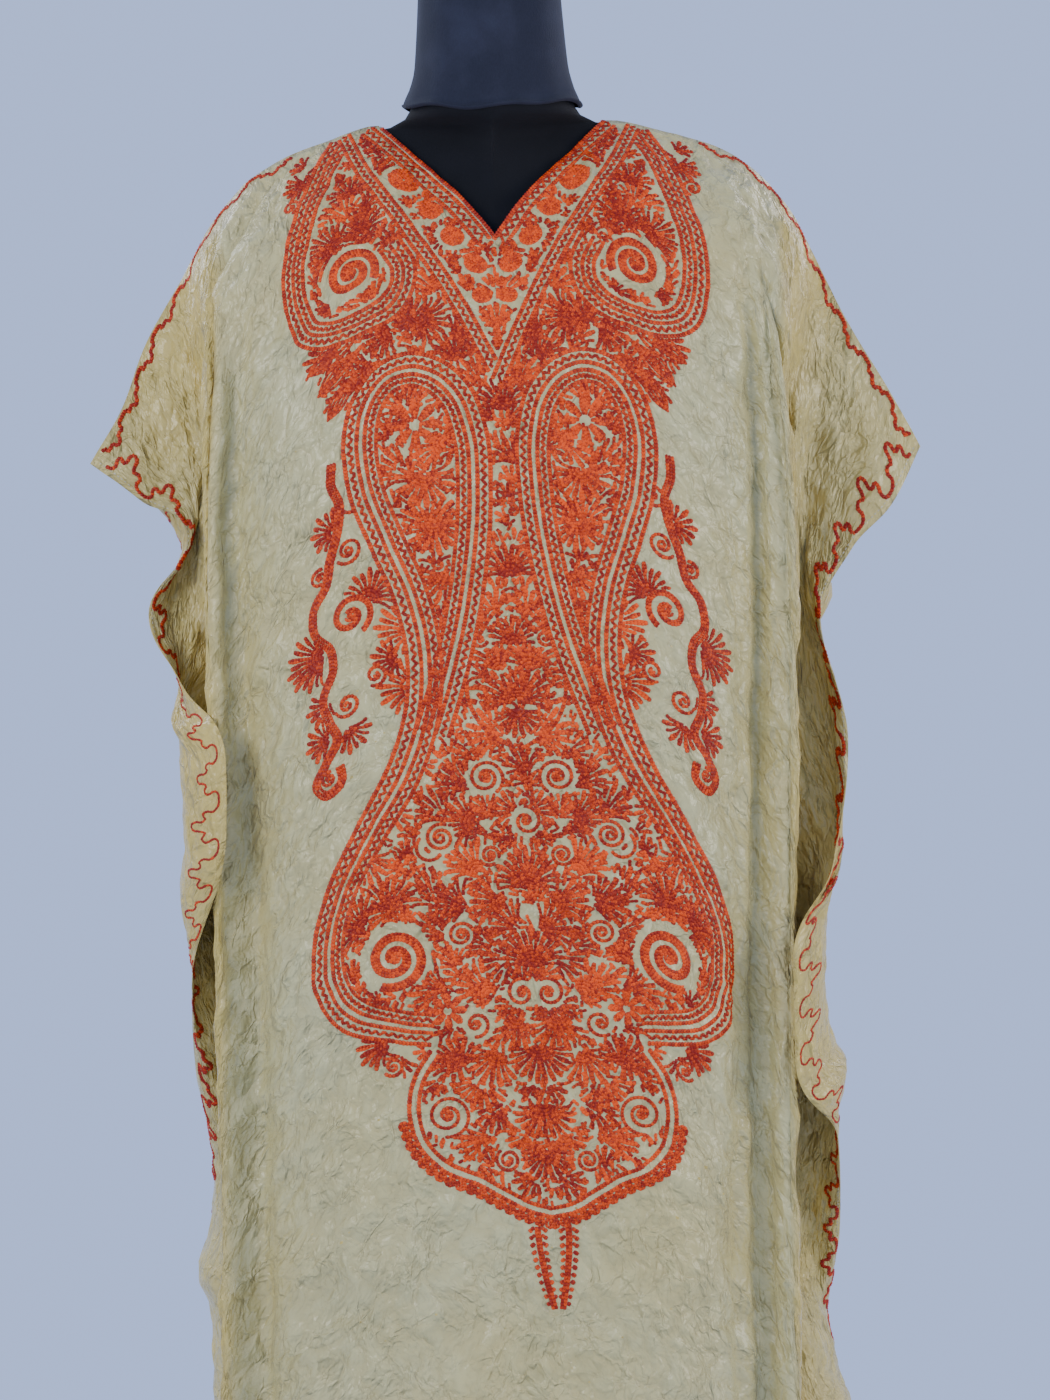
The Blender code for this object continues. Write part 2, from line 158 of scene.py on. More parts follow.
BACK_SECTIONS = rows_of(Section, (
    (0.16, 0.112, 0.150, 0.092, 0.184, 0.070, 0.202, 0.040, 0.214, 0.010),
    (0.30, 0.118, 0.152, 0.104, 0.182, 0.078, 0.180, 0.034, 0.210, -0.032),
    (0.55, 0.114, 0.152, 0.102, 0.180, 0.076, 0.174, 0.030, 0.204, -0.034),
    (0.90, 0.120, 0.154, 0.108, 0.182, 0.082, 0.178, 0.034, 0.210, -0.036),
    (1.32, 0.128, 0.158, 0.116, 0.190, 0.088, 0.186, 0.036, 0.224, -0.036),
))
SECTIONS = {
    (Panel.FRONT, Side.LEFT): rows_of(Section, (
        (0.16, -0.138, 0.172, -0.100, 0.192, -0.086, 0.219, -0.094, 0.220, -0.030),
        (0.30, -0.146, 0.184, -0.112, 0.202, -0.094, 0.228, -0.104, 0.210, -0.032),
        (0.55, -0.150, 0.184, -0.118, 0.202, -0.096, 0.229, -0.110, 0.204, -0.034),
        (0.90, -0.152, 0.188, -0.120, 0.208, -0.098, 0.236, -0.112, 0.210, -0.036),
        (1.32, -0.158, 0.196, -0.124, 0.220, -0.100, 0.252, -0.114, 0.224, -0.036),
    )),
    (Panel.FRONT, Side.RIGHT): rows_of(Section, (
        (0.16, -0.138, 0.166, -0.102, 0.190, -0.088, 0.214, -0.094, 0.220, -0.030),
        (0.30, -0.146, 0.172, -0.112, 0.194, -0.094, 0.220, -0.104, 0.210, -0.032),
        (0.55, -0.150, 0.170, -0.118, 0.186, -0.096, 0.214, -0.110, 0.204, -0.034),
        (0.90, -0.152, 0.166, -0.122, 0.180, -0.098, 0.208, -0.114, 0.202, -0.036),
        (1.32, -0.158, 0.168, -0.126, 0.184, -0.100, 0.214, -0.118, 0.210, -0.036),
    )),
    (Panel.BACK, Side.LEFT): BACK_SECTIONS,
    (Panel.BACK, Side.RIGHT): BACK_SECTIONS,
}
FLAPS = {
    (Panel.FRONT, Side.LEFT): rows_of(Flap, (
        (0.05, 0.284, -0.032, 0, -20), (0.10, 0.248, -0.036, 0, -30), (0.17, 0.280, -0.046, 0, -50),
        (0.23, 0.256, -0.074, 90, -20), (0.32, 0.218, -0.128, 180, 0), (0.38, 0.220, -0.128, 180, 0),
        (0.51, 0.254, -0.086, 100, 0), (0.63, 0.260, -0.015, 0, -20), (0.72, 0.248, 0.040, -100, 0),
        (0.84, 0.236, 0.075, -180, 0), (1.32, 0.242, 0.082, -180, 0),
    )),
    (Panel.FRONT, Side.RIGHT): rows_of(Flap, (
        (0.05, 0.306, -0.028, 0, -20), (0.10, 0.272, -0.034, 0, -30), (0.16, 0.246, -0.044, 0, -40),
        (0.26, 0.266, -0.052, 0, -50), (0.36, 0.250, -0.088, 110, -20), (0.45, 0.214, -0.130, 180, 0),
        (0.53, 0.214, -0.132, 180, 0), (0.63, 0.250, -0.084, 90, -10), (0.74, 0.255, -0.020, 0, -30),
        (0.85, 0.244, 0.040, -100, 0), (0.97, 0.232, 0.075, -180, 0), (1.32, 0.232, 0.082, -180, 0),
    )),
    (Panel.BACK, Side.LEFT): rows_of(Flap, (
        (0.06, 0.300, 0.015, -40, 0), (0.14, 0.262, 0.060, -90, 0), (0.24, 0.230, 0.086, -150, 0),
        (1.32, 0.234, 0.092, -150, 0),
    )),
    (Panel.BACK, Side.RIGHT): rows_of(Flap, (
        (0.06, 0.304, 0.020, -40, 0), (0.14, 0.264, 0.062, -90, 0), (0.24, 0.230, 0.086, -150, 0),
        (1.32, 0.230, 0.092, -150, 0),
    )),
}


def curve_through(places: Sequence[float], values: Any, where: Any, swings: bool = False) -> Grid:
    """Reads a smooth curve through rows of values at uneven places.

    Args:
        places: Rising places of the rows.
        values: One row of numbers for each place.
        where: The places to read.
        swings: Whether the curve may swing past its rows.

    Returns:
        One row of numbers for each place read.
    """
    places, values, where = (np.asarray(each, float) for each in (places, values, where))
    spans = np.diff(places)[:, None]
    rises = np.diff(values, axis=0) / spans
    if swings:
        slopes = np.gradient(values, places, axis=0)
    else:
        before, after = rises[:-1], rises[1:]
        turns = before * after <= 0
        shared = np.where(turns, 0, 2 * before * after / (before + after + turns))
        slopes = np.vstack([rises[:1], shared, rises[-1:]])
    start = np.clip(np.searchsorted(places, where, side="right") - 1, 0, len(places) - 2)
    span = spans[start]
    t = np.clip((where - places[start])[:, None] / span, 0.0, 1.0)
    return (
        (2 * t**3 - 3 * t**2 + 1) * values[start]
        + (t**3 - 2 * t**2 + t) * span * slopes[start]
        + (3 * t**2 - 2 * t**3) * values[start + 1]
        + (t**3 - t**2) * span * slopes[start + 1]
    )


def lengths_along(line: Grid) -> Grid:
    """The length of a line up to each of its points."""
    return np.concatenate([[0.0], np.cumsum(np.linalg.norm(np.diff(line, axis=0), axis=1))])


def eased(x: Any) -> Any:
    """Runs smoothly from 0 to 1 as x does."""
    x = np.clip(x, 0.0, 1.0)
    return x * x * (3 - 2 * x)


def camera_matrix(azimuth: float, elevation: float, target: Vector, distance: float) -> Matrix:
    """Where something stands that looks at a target.

    Args:
        azimuth: Degrees round the object, 0 in front of it.
        elevation: Degrees above the horizon.
        target: What it looks at.
        distance: How far away it is, in metres.

    Returns:
        The matrix of a camera or lamp there.
    """
    turn, lift = math.radians(azimuth), math.radians(elevation)
    away = Vector((math.sin(turn) * math.cos(lift), -math.cos(turn) * math.cos(lift), math.sin(lift)))
    matrix = away.to_track_quat("Z", "Y").to_matrix().to_4x4()
    matrix.translation = target + away * distance
    return matrix


def put_in_scene(name: str, data: Any) -> bpy.types.Object:
    """Makes an object of some data and links it to the scene."""
    thing = bpy.data.objects.new(name, data)
    bpy.context.scene.collection.objects.link(thing)
    return thing


class Lamp(NamedTuple):
    """A soft lamp: where it hangs round the object, in degrees and metres, and how it shines."""

    name: str
    azimuth: float
    elevation: float
    distance: float
    size: float
    power: float
    colour: Colour


LAMPS = (
    Lamp("window", -42, 20, 2.6, 1.3, 36, (1.0, 0.99, 0.94)),
    Lamp("fill", 66, 10, 2.8, 1.4, 41, (1.0, 0.95, 0.86)),
    Lamp("rim_left", -128, 30, 2.2, 1.0, 16, (0.94, 0.97, 1.0)),
    Lamp("rim_right", 132, 26, 2.2, 1.0, 14, (1.0, 0.96, 0.9)),
)


@dataclass
class Studio:
    """The camera, the lights, the plain wall and floor."""

    frame_width: int = 1050
    frame_height: int = 1400
    metres_per_pixel: float = 0.0008
    neck_point_column: float = 493
    neck_point_row: float = 120
    leaning: float = 1.6
    looking_down: float = 7.0
    distance: float = 3.0
    film: float = 24.0
    lamps_aim_at: float = 1.05
    floor_radius: float = 1.5
    wall: Colour = (0.520, 0.670, 1.120)

    def place_camera(self) -> None:
        """Puts the camera where the photograph was taken from."""
        lean = math.radians(self.leaning)
        right = self.frame_width / 2 - self.neck_point_column
        down = self.frame_height / 2 - self.neck_point_row
        x = (right * math.cos(lean) - down * math.sin(lean)) * self.metres_per_pixel
        drop = (right * math.sin(lean) + down * math.cos(lean)) * self.metres_per_pixel
        data = bpy.data.cameras.new("camera")
        data.sensor_width = self.film
        data.lens = self.film * self.distance / (self.frame_height * self.metres_per_pixel)
        camera = put_in_scene("camera", data)
        target = Vector((x, 0, SHOULDER_Z - drop))
        stands = camera_matrix(0, self.looking_down, target, self.distance)
        camera.matrix_world = stands @ Matrix.Rotation(-lean, 4, "Z")
        bpy.context.scene.camera = camera

    def place_lights(self) -> None:
        """Hangs soft lamps round the object and sets the wall's glow."""
        target = Vector((0, 0, self.lamps_aim_at))
        for lamp in LAMPS:
            data = bpy.data.lights.new(lamp.name, "AREA")
            data.energy, data.size, data.color = lamp.power, lamp.size, lamp.colour
            hung = put_in_scene(lamp.name, data)
            hung.matrix_world = camera_matrix(lamp.azimuth, lamp.elevation, target, lamp.distance)
        world = bpy.data.worlds.new("wall")
        bpy.context.scene.world = world
        world.use_nodes = True
        glow = world.node_tree.nodes["Background"]
        glow.inputs["Color"].default_value = (*self.wall, 1)
        glow.inputs["Strength"].default_value = 1.0

    def lay_floor(self) -> bpy.types.Object:
        """Lays a round plain floor."""
        disc = bmesh.new()
        bmesh.ops.create_circle(disc, cap_ends=True, segments=96, radius=self.floor_radius)
        floor = mesh_object("floor", disc, FloorPaint().material())
        return floor

    def build(self) -> None:
        """Sets up all of it."""
        self.place_camera()
        self.place_lights()
        self.lay_floor()


class Value:
    """A shader number that takes part in Python expressions."""

    def __init__(self, sheet: "NodeSheet", socket: bpy.types.NodeSocket) -> None:
        """Wraps a socket of a node sheet."""
        self.sheet, self.socket = sheet, socket

    def _with(self, operation: str, *others: Any) -> "Value":
        """Adds a Math node that works on this number and others."""
        sockets = dict(enumerate((self, *others)))
        return self.sheet.value("ShaderNodeMath", {"operation": operation}, sockets)

    def __add__(self, other: Any) -> "Value":
        """Adds."""
        return self._with("ADD", other)

    __radd__ = __add__

    def __mul__(self, other: Any) -> "Value":
        """Multiplies."""
        return self._with("MULTIPLY", other)

    __rmul__ = __mul__

    def __sub__(self, other: Any) -> "Value":
        """Takes away."""
        return self._with("SUBTRACT", other)

    def __rsub__(self, other: float) -> "Value":
        """Is taken from a number."""
        return self * -1 + other

    def __truediv__(self, other: Any) -> "Value":
        """Divides."""
        return self._with("DIVIDE", other)

    def __pow__(self, other: Any) -> "Value":
        """Raises to a power."""
        return self._with("POWER", other)

    def __abs__(self) -> "Value":
        """Drops the sign."""
        return self._with("ABSOLUTE")

    def least(self, other: Any) -> "Value":
        """The smaller of two."""
        return self._with("MINIMUM", other)

    def between(self, low: float, high: float) -> "Value":
        """Runs smoothly from 0 at low to 1 at high."""
        sockets = {"Value": self, "From Min": low, "From Max": high}
        return self.sheet.value("ShaderNodeMapRange", {"interpolation_type": "SMOOTHSTEP"}, sockets)

    def colours(self, first: Sequence[float], second: Any) -> bpy.types.NodeSocket:
        """Mixes two colours, the second where this is 1."""
        sockets = {"Factor": self, 6: first, 7: second}
        mix = self.sheet.node("ShaderNodeMix", {"data_type": "RGBA"}, sockets)
        return mix.outputs[2]


# The mean of a colour that noise gives, taken off so that it pushes both ways
MIDDLE = (0.5, 0.5, 0.5)


class NodeSheet:
    """One material's nodes."""

    def __init__(self, name: str) -> None:
        """Starts a material with an empty Principled shader."""
        self.material = bpy.data.materials.new(name)
        self.material.use_nodes = True
        self.shader = self.material.node_tree.nodes["Principled BSDF"]

    def plug(self, socket: bpy.types.NodeSocket, given: Any) -> None:
        """Gives a socket a value or a link."""
        if isinstance(given, Value):
            given = given.socket
        if isinstance(given, bpy.types.NodeSocket):
            self.material.node_tree.links.new(given, socket)
        elif socket.type == "RGBA":
            socket.default_value = (*given, 1.0)
        else:
            socket.default_value = given

    def node(
        self,
        kind: str,
        settings: dict[str, Any] | None = None,
        sockets: dict[str | int, Any] | None = None,
    ) -> bpy.types.Node:
        """Adds a node.

        Args:
            kind: Its type.
            settings: What to set on it first, with a ramp's stops as (place, colour) pairs.
            sockets: The values or links of its inputs, by name or number.

        Returns:
            The node.
        """
        made = self.material.node_tree.nodes.new(kind)
        for name, setting in (settings or {}).items():
            if name == "stops":
                ramp = made.color_ramp.elements
                for index, (place, colour) in enumerate(setting):
                    stop = ramp[index] if index < 2 else ramp.new(place)
                    stop.position, stop.color = place, (*colour, 1.0)
            else:
                setattr(made, name, setting)
        for name, given in (sockets or {}).items():
            self.plug(made.inputs[name], given)
        return made

    def value(self, kind: str, settings: Any = None, sockets: Any = None, out: Any = 0) -> Value:
        """Adds a node and takes one of its outputs as a number."""
        return Value(self, self.node(kind, settings, sockets).outputs[out])

    def vector(self, operation: str, *given: Any) -> bpy.types.Node:
        """Adds a Vector Math node that works on what is given, in order."""
        return self.node("ShaderNodeVectorMath", {"operation": operation}, dict(enumerate(given)))

    def flat_cut(self) -> bpy.types.NodeSocket:
        """Coordinates in the flat cut, in metres across and down."""
        return self.node("ShaderNodeUVMap", {"uv_map": "flat"}).outputs[0]

    def space(self) -> bpy.types.NodeSocket:
        """Coordinates in space, in metres."""
        return self.node("ShaderNodeTexCoord").outputs["Object"]

    def stretched(self, where: Any, x: float, y: float, z: float = 1.0) -> bpy.types.NodeSocket:
        """Coordinates scaled on each axis."""
        return self.vector("MULTIPLY", where, (x, y, z)).outputs[0]

    def noise(self, where: Any, size: float, detail: float = 2.0, rough: float = 0.5) -> Value:
        """Soft noise with lumps of a size in metres, about 0.5 on average."""
        sockets = {"Vector": where, "Scale": 1 / size, "Detail": detail, "Roughness": rough}
        return self.value("ShaderNodeTexNoise", None, sockets, "Fac")

    def warped(self, where: Any, size: float, by: float) -> bpy.types.NodeSocket:
        """Coordinates pushed about by noise of a size, by a length."""
        colour = self.node("ShaderNodeTexNoise", None, {"Vector": where, "Scale": 1 / size})
        centred = self.vector("SUBTRACT", colour.outputs["Color"], MIDDLE)
        return self.vector("MULTIPLY_ADD", centred.outputs[0], (by * 2,) * 3, where).outputs[0]

    def net(self, where: Any, size: float) -> Value:
        """How far a place is from the nearest line of a crushed net."""
        sockets = {"Vector": where, "Scale": 1 / size}
        settings = {"voronoi_dimensions": "2D", "feature": "DISTANCE_TO_EDGE"}
        return self.value("ShaderNodeTexVoronoi", settings, sockets)

    def facets(self, where: Any, size: float) -> Value:
        """Height of small facets that each lean their own way, about 0 on average."""
        settings = {"voronoi_dimensions": "2D"}
        cells = self.node("ShaderNodeTexVoronoi", settings, {"Vector": where, "Scale": 1 / size})
        lean = self.vector("SUBTRACT", cells.outputs["Color"], MIDDLE)
        away = self.vector("SUBTRACT", where, cells.outputs["Position"])
        height = self.vector("DOT_PRODUCT", lean.outputs[0], away.outputs[0])
        return Value(self, height.outputs["Value"]) * (1 / size)

    def attribute(self, name: str) -> Value:
        """A number that the mesh carries."""
        return self.value("ShaderNodeAttribute", {"attribute_name": name}, None, "Fac")

    def relief(self, height: Value, metres: float, strength: float = 1.0) -> None:
        """Raises the surface by a height from 0 to 1 of so many metres."""
        sockets = {"Height": height, "Distance": metres, "Strength": strength}
        bump = self.node("ShaderNodeBump", None, sockets)
        self.plug(self.shader.inputs["Normal"], bump.outputs[0])

    def finish(self, **sockets: Any) -> bpy.types.Material:
        """Sets the shader's own sockets, named with _ for a space, and hands over the material."""
        for name, given in sockets.items():
            self.plug(self.shader.inputs[name.replace("_", " ")], given)
        return self.material


@dataclass(frozen=True)
class CrushedSilk:
    """Pale cream silk, crushed all over, that shines softly on its creases, with painted warm shade in its
    folds and painted dark shade along its crease lines.
    """

    name: str
    pale: Colour = (0.565, 0.508, 0.238)
    # The warm colour is painted shade deep in the folds, and also the colour of the cloth's random warm
    # patches
    warm_shade_and_tone: Colour = (0.620, 0.450, 0.105)
    shade: Colour = (0.400, 0.295, 0.090)
    crush: float = 0.0135
    pinch: float = 0.004
    thread: float = 0.0007
    depth: float = 0.0060

    def material(self) -> bpy.types.Material:
        """Makes it."""
        sheet = NodeSheet(self.name)
        flat = sheet.flat_cut()
        leaning = sheet.stretched(sheet.warped(flat, 0.05, 0.012), 1.0, 0.72)

        def crushed(size: float, by: float) -> bpy.types.NodeSocket:
            """Leaning coordinates pushed about, both numbers as shares of the crush."""
            return sheet.warped(leaning, self.crush * size, self.crush * by)

        large = sheet.facets(crushed(1.0, 0.55), self.crush * 1.3)
        small = sheet.facets(crushed(0.6, 0.4), self.crush * 0.55)
        where = sheet.noise(flat, self.crush * 2.2, 3).between(0.38, 0.62)
        folded = abs(sheet.noise(leaning, self.crush * 1.5, 2, 0.4) - 0.5)
        pinched = sheet.noise(sheet.warped(leaning, self.crush, self.pinch), self.crush * 0.7, 2, 0.5)
        pinched = abs(pinched - 0.5)
        slub = sheet.noise(sheet.stretched(flat, 1.0, 0.05), self.thread * 1.6, 2)
        ridges = sheet.net(crushed(0.8, 0.5), self.crush).between(0.0, 0.16)
        height = large * 1.3 + small * (where * 0.55 + 0.15) + folded * 1.5 + pinched * (where * 0.6 + 0.3)
        height = height - ridges * (where * 0.12 + 0.04)
        sheet.relief(height + slub * 0.02, self.depth)
        # Painted shade: the mesh's fold depth tints the cloth warm where the folds hide it, mixed with
        # random warm patches
        painted_fold_shade = sheet.attribute("painted_fold_shade")
        tone = sheet.noise(flat, 0.16, 2).between(0.35, 0.7)
        fold_shade_and_tone = (painted_fold_shade * 0.85 + tone * 0.30).least(1.0)
        cloth = fold_shade_and_tone.colours(self.pale, self.warm_shade_and_tone)
        # Painted shade: the shade colour darkens the crease lines of the crush, and worn adds a little
        # random mottle to it
        painted_crease_shade = 1 - (folded * 5 + pinched * 3).least(1.0)
        worn = (painted_crease_shade * 0.30 + sheet.noise(flat, 0.03) * 0.14).least(1.0)
        return sheet.finish(
            Base_Color=worn.colours(cloth, self.shade),
            Roughness=0.25 + where * 0.15,
            Sheen_Weight=0.08,
            Sheen_Roughness=0.4,
            Specular_IOR_Level=0.5,
        )


@dataclass(frozen=True)
class SilkThread:
    """Glossy thread, each stitch with its own twist and tone, and with painted shade and highlight across
    its raised loop.
    """

    name: str
    deep: Colour = (0.25, 0.0042, 0.0002)
    bright: Colour = (1.0, 0.098, 0.0002)

    def material(self) -> bpy.types.Material:
        """Makes it."""
        sheet = NodeSheet(self.name)
        space = sheet.space()
        # The tone attribute holds each stitch's thread tone together with the painted shade and highlight
        # of its points
        own = sheet.attribute("tone")
        ply = sheet.noise(space, 0.0011, 2, 0.6)
        tone = (own * 0.90 + ply * 0.5 - 0.20).between(0.0, 1.0)
        sheet.relief(ply, 0.0003, 0.7)
        return sheet.finish(
            Base_Color=tone.colours(self.deep, self.bright),
            Roughness=0.36 + ply * 0.2,
            Specular_IOR_Level=0.3,
        )


@dataclass(frozen=True)
class Knit:
    """Fine knitted cloth in a dark colour."""

    name: str
    colour: Colour
    lit: Colour
    loop: float
    depth: float = 0.0004
    gloss: float = 0.2
    fuzz: float = 0.03

    def material(self) -> bpy.types.Material:
        """Makes it."""
        sheet = NodeSheet(self.name)
        space = sheet.space()
        loops = sheet.noise(sheet.stretched(space, 1.0, 1.0, 0.55), self.loop, 2)
        fuzz = sheet.noise(space, self.loop * 0.4, 3, 0.7)
        worn = sheet.noise(space, 0.05, 3).between(0.4, 0.7)
        sheet.relief(loops * 0.7 + fuzz * 0.3, self.depth, 0.8)
        # Painted highlight: the lit colour follows the knit loops' relief and the fuzz, and also lies on
        # random worn patches
        mix = (loops * 0.35 + fuzz * 0.25 + worn * 0.35).least(1.0)
        return sheet.finish(
            Base_Color=mix.colours(self.colour, self.lit),
            Roughness=0.80 + loops * 0.15,
            Specular_IOR_Level=self.gloss,
            Sheen_Weight=self.fuzz,
            Sheen_Roughness=0.5,
        )


@dataclass(frozen=True)
class TurnedWood:
    """Varnished wood with its grain along one way."""

    name: str = "varnished_wood"
    dark: Colour = (0.10, 0.045, 0.018)
    light: Colour = (0.30, 0.155, 0.07)

    def material(self) -> bpy.types.Material:
        """Makes it."""
        sheet = NodeSheet(self.name)
        bent = sheet.warped(sheet.stretched(sheet.space(), 1.0, 0.08, 1.0), 0.03, 0.006)
        rings = sheet.noise(bent, 0.004, 3, 0.6)
        pores = sheet.noise(sheet.stretched(sheet.space(), 1.0, 0.05, 1.0), 0.0009, 1)
        sheet.relief(rings * 0.4 + pores * 0.6, 0.0002, 0.5)
        return sheet.finish(
            Base_Color=rings.between(0.35, 0.65).colours(self.dark, self.light),
            Roughness=0.26 + pores * 0.16,
            Coat_Weight=0.5,
            Coat_Roughness=0.12,
        )


@dataclass(frozen=True)
class SatinMetal:
    """Turned steel, brushed round, with worn rims."""

    name: str = "satin_steel"
    colour: Colour = (0.36, 0.36, 0.37)
    worn: Colour = (0.52, 0.52, 0.52)

    def material(self) -> bpy.types.Material:
        """Makes it."""
        sheet = NodeSheet(self.name)
        space = sheet.space()
        brushed = sheet.noise(sheet.stretched(space, 0.15, 0.15, 1.0), 0.0012, 2)
        smudges = sheet.noise(space, 0.06, 3).between(0.45, 0.7)
        sheet.relief(brushed, 0.0001, 0.4)
        return sheet.finish(
            Base_Color=(brushed * 0.6 + smudges * 0.4).colours(self.colour, self.worn),
            Roughness=0.28 + smudges * 0.2,
            Metallic=1.0,
        )


@dataclass(frozen=True)
class FloorPaint:
    """A plain pale floor that fades out at its rim."""

    name: str = "floor"
    colour: Colour = (0.56, 0.60, 0.66)
    fades: tuple[float, float] = (0.6, 1.45)

    def material(self) -> bpy.types.Material:
        """Makes it."""
        sheet = NodeSheet(self.name)
        space = sheet.space()
        rim = Value(sheet, sheet.vector("LENGTH", space).outputs["Value"]).between(*self.fades)
        clear = sheet.node("ShaderNodeBsdfTransparent").outputs[0]
        sockets = {0: rim, 1: sheet.shader.outputs[0], 2: clear}
        mixed = sheet.node("ShaderNodeMixShader", None, sockets)
        end = sheet.material.node_tree.nodes["Material Output"]
        sheet.plug(end.inputs["Surface"], mixed.outputs[0])
        grain = sheet.noise(space, 0.02, 3)
        sheet.relief(grain, 0.0003, 0.2)
        return sheet.finish(Base_Color=self.colour, Roughness=0.7)


def smooth_object(name: str, mesh: bpy.types.Mesh, material: bpy.types.Material) -> bpy.types.Object:
    """Shades a mesh smooth, gives it its material and puts it in the scene."""
    mesh.shade_smooth()
    mesh.materials.append(material)
    return put_in_scene(name, mesh)


def carry(mesh: bpy.types.Mesh, name: str, values: Grid) -> None:
    """Stores a number at each point of a mesh, for its material to read."""
    numbers = mesh.attributes.new(name, "FLOAT", "POINT")
    numbers.data.foreach_set("value", values.ravel().astype(np.float32))


def mesh_object(name: str, data: bmesh.types.BMesh, material: bpy.types.Material) -> bpy.types.Object:
    """Makes a smooth object from mesh data.

    Args:
        name: The piece's name.
        data: Its mesh, freed here.
        material: What it is made of.

    Returns:
        The object.
    """
    mesh = bpy.data.meshes.new(name)
    data.to_mesh(mesh)
    data.free()
    return smooth_object(name, mesh, material)


def grid_mesh(name: str, points: Grid, faces: Grid, material: bpy.types.Material) -> bpy.types.Object:
    """Makes a smooth object from arrays of points and faces."""
    mesh = bpy.data.meshes.new(name)
    mesh.from_pydata(points.tolist(), [], faces.tolist())
    mesh.validate()
    return smooth_object(name, mesh, material)


class Scatter:
    """Numbers that look random and are the same on each run."""

    def __init__(self, seed: int) -> None:
        """Starts from a seed."""
        self.source = np.random.default_rng(seed)

    def field(self, cells: tuple[int, int], low: float, high: float) -> Grid:
        """A table of numbers between two others."""
        return self.source.uniform(low, high, cells)


@dataclass
class Crumple:
    """Relief of crushed cloth: shallow facets that meet in soft creases.

    Each facet is a small bowl with its own tilt, and the cloth follows the lowest one.
    """

    cell: float
    tilt: float
    bowl: float
    seed: int
    tables: tuple[Grid, ...] = field(init=False)
    cells: tuple[int, int] = (160, 200)

    def __post_init__(self) -> None:
        """Draws the facets."""
        scatter = Scatter(self.seed)
        shifts = [scatter.field(self.cells, 0.1, 0.9) for _ in range(2)]
        tilts = [scatter.field(self.cells, -self.tilt, self.tilt) for _ in range(2)]
        lifts = scatter.field(self.cells, 0.0, self.tilt * self.cell * 0.5)
        self.tables = (*shifts, *tilts, lifts)

    def height(self, across: Grid, down: Grid) -> Grid:
        """The relief in metres at places of the flat cut."""
        u = across / self.cell + self.cells[0] / 2
        v = down / self.cell + 2
        column, row = np.floor(u).astype(int), np.floor(v).astype(int)
        lowest = np.full(np.shape(u), np.inf)
        for i in (-1, 0, 1):
            for j in (-1, 0, 1):
                c, r = (column + i) % self.cells[0], (row + j) % self.cells[1]
                shift_u, shift_v, tilt_u, tilt_v, lift = (table[c, r] for table in self.tables)
                du = (u - column - i - shift_u) * self.cell
                dv = (v - row - j - shift_v) * self.cell
                facet = lift + tilt_u * du + tilt_v * dv + self.bowl * (du**2 + dv**2) / self.cell
                lowest = np.minimum(lowest, facet)
        return lowest


class Crease(NamedTuple):
    """A main crease: from and to places in the flat cut, its half width and its depth."""

    across: float
    down: float
    across_to: float
    down_to: float
    half_width: float
    depth: float


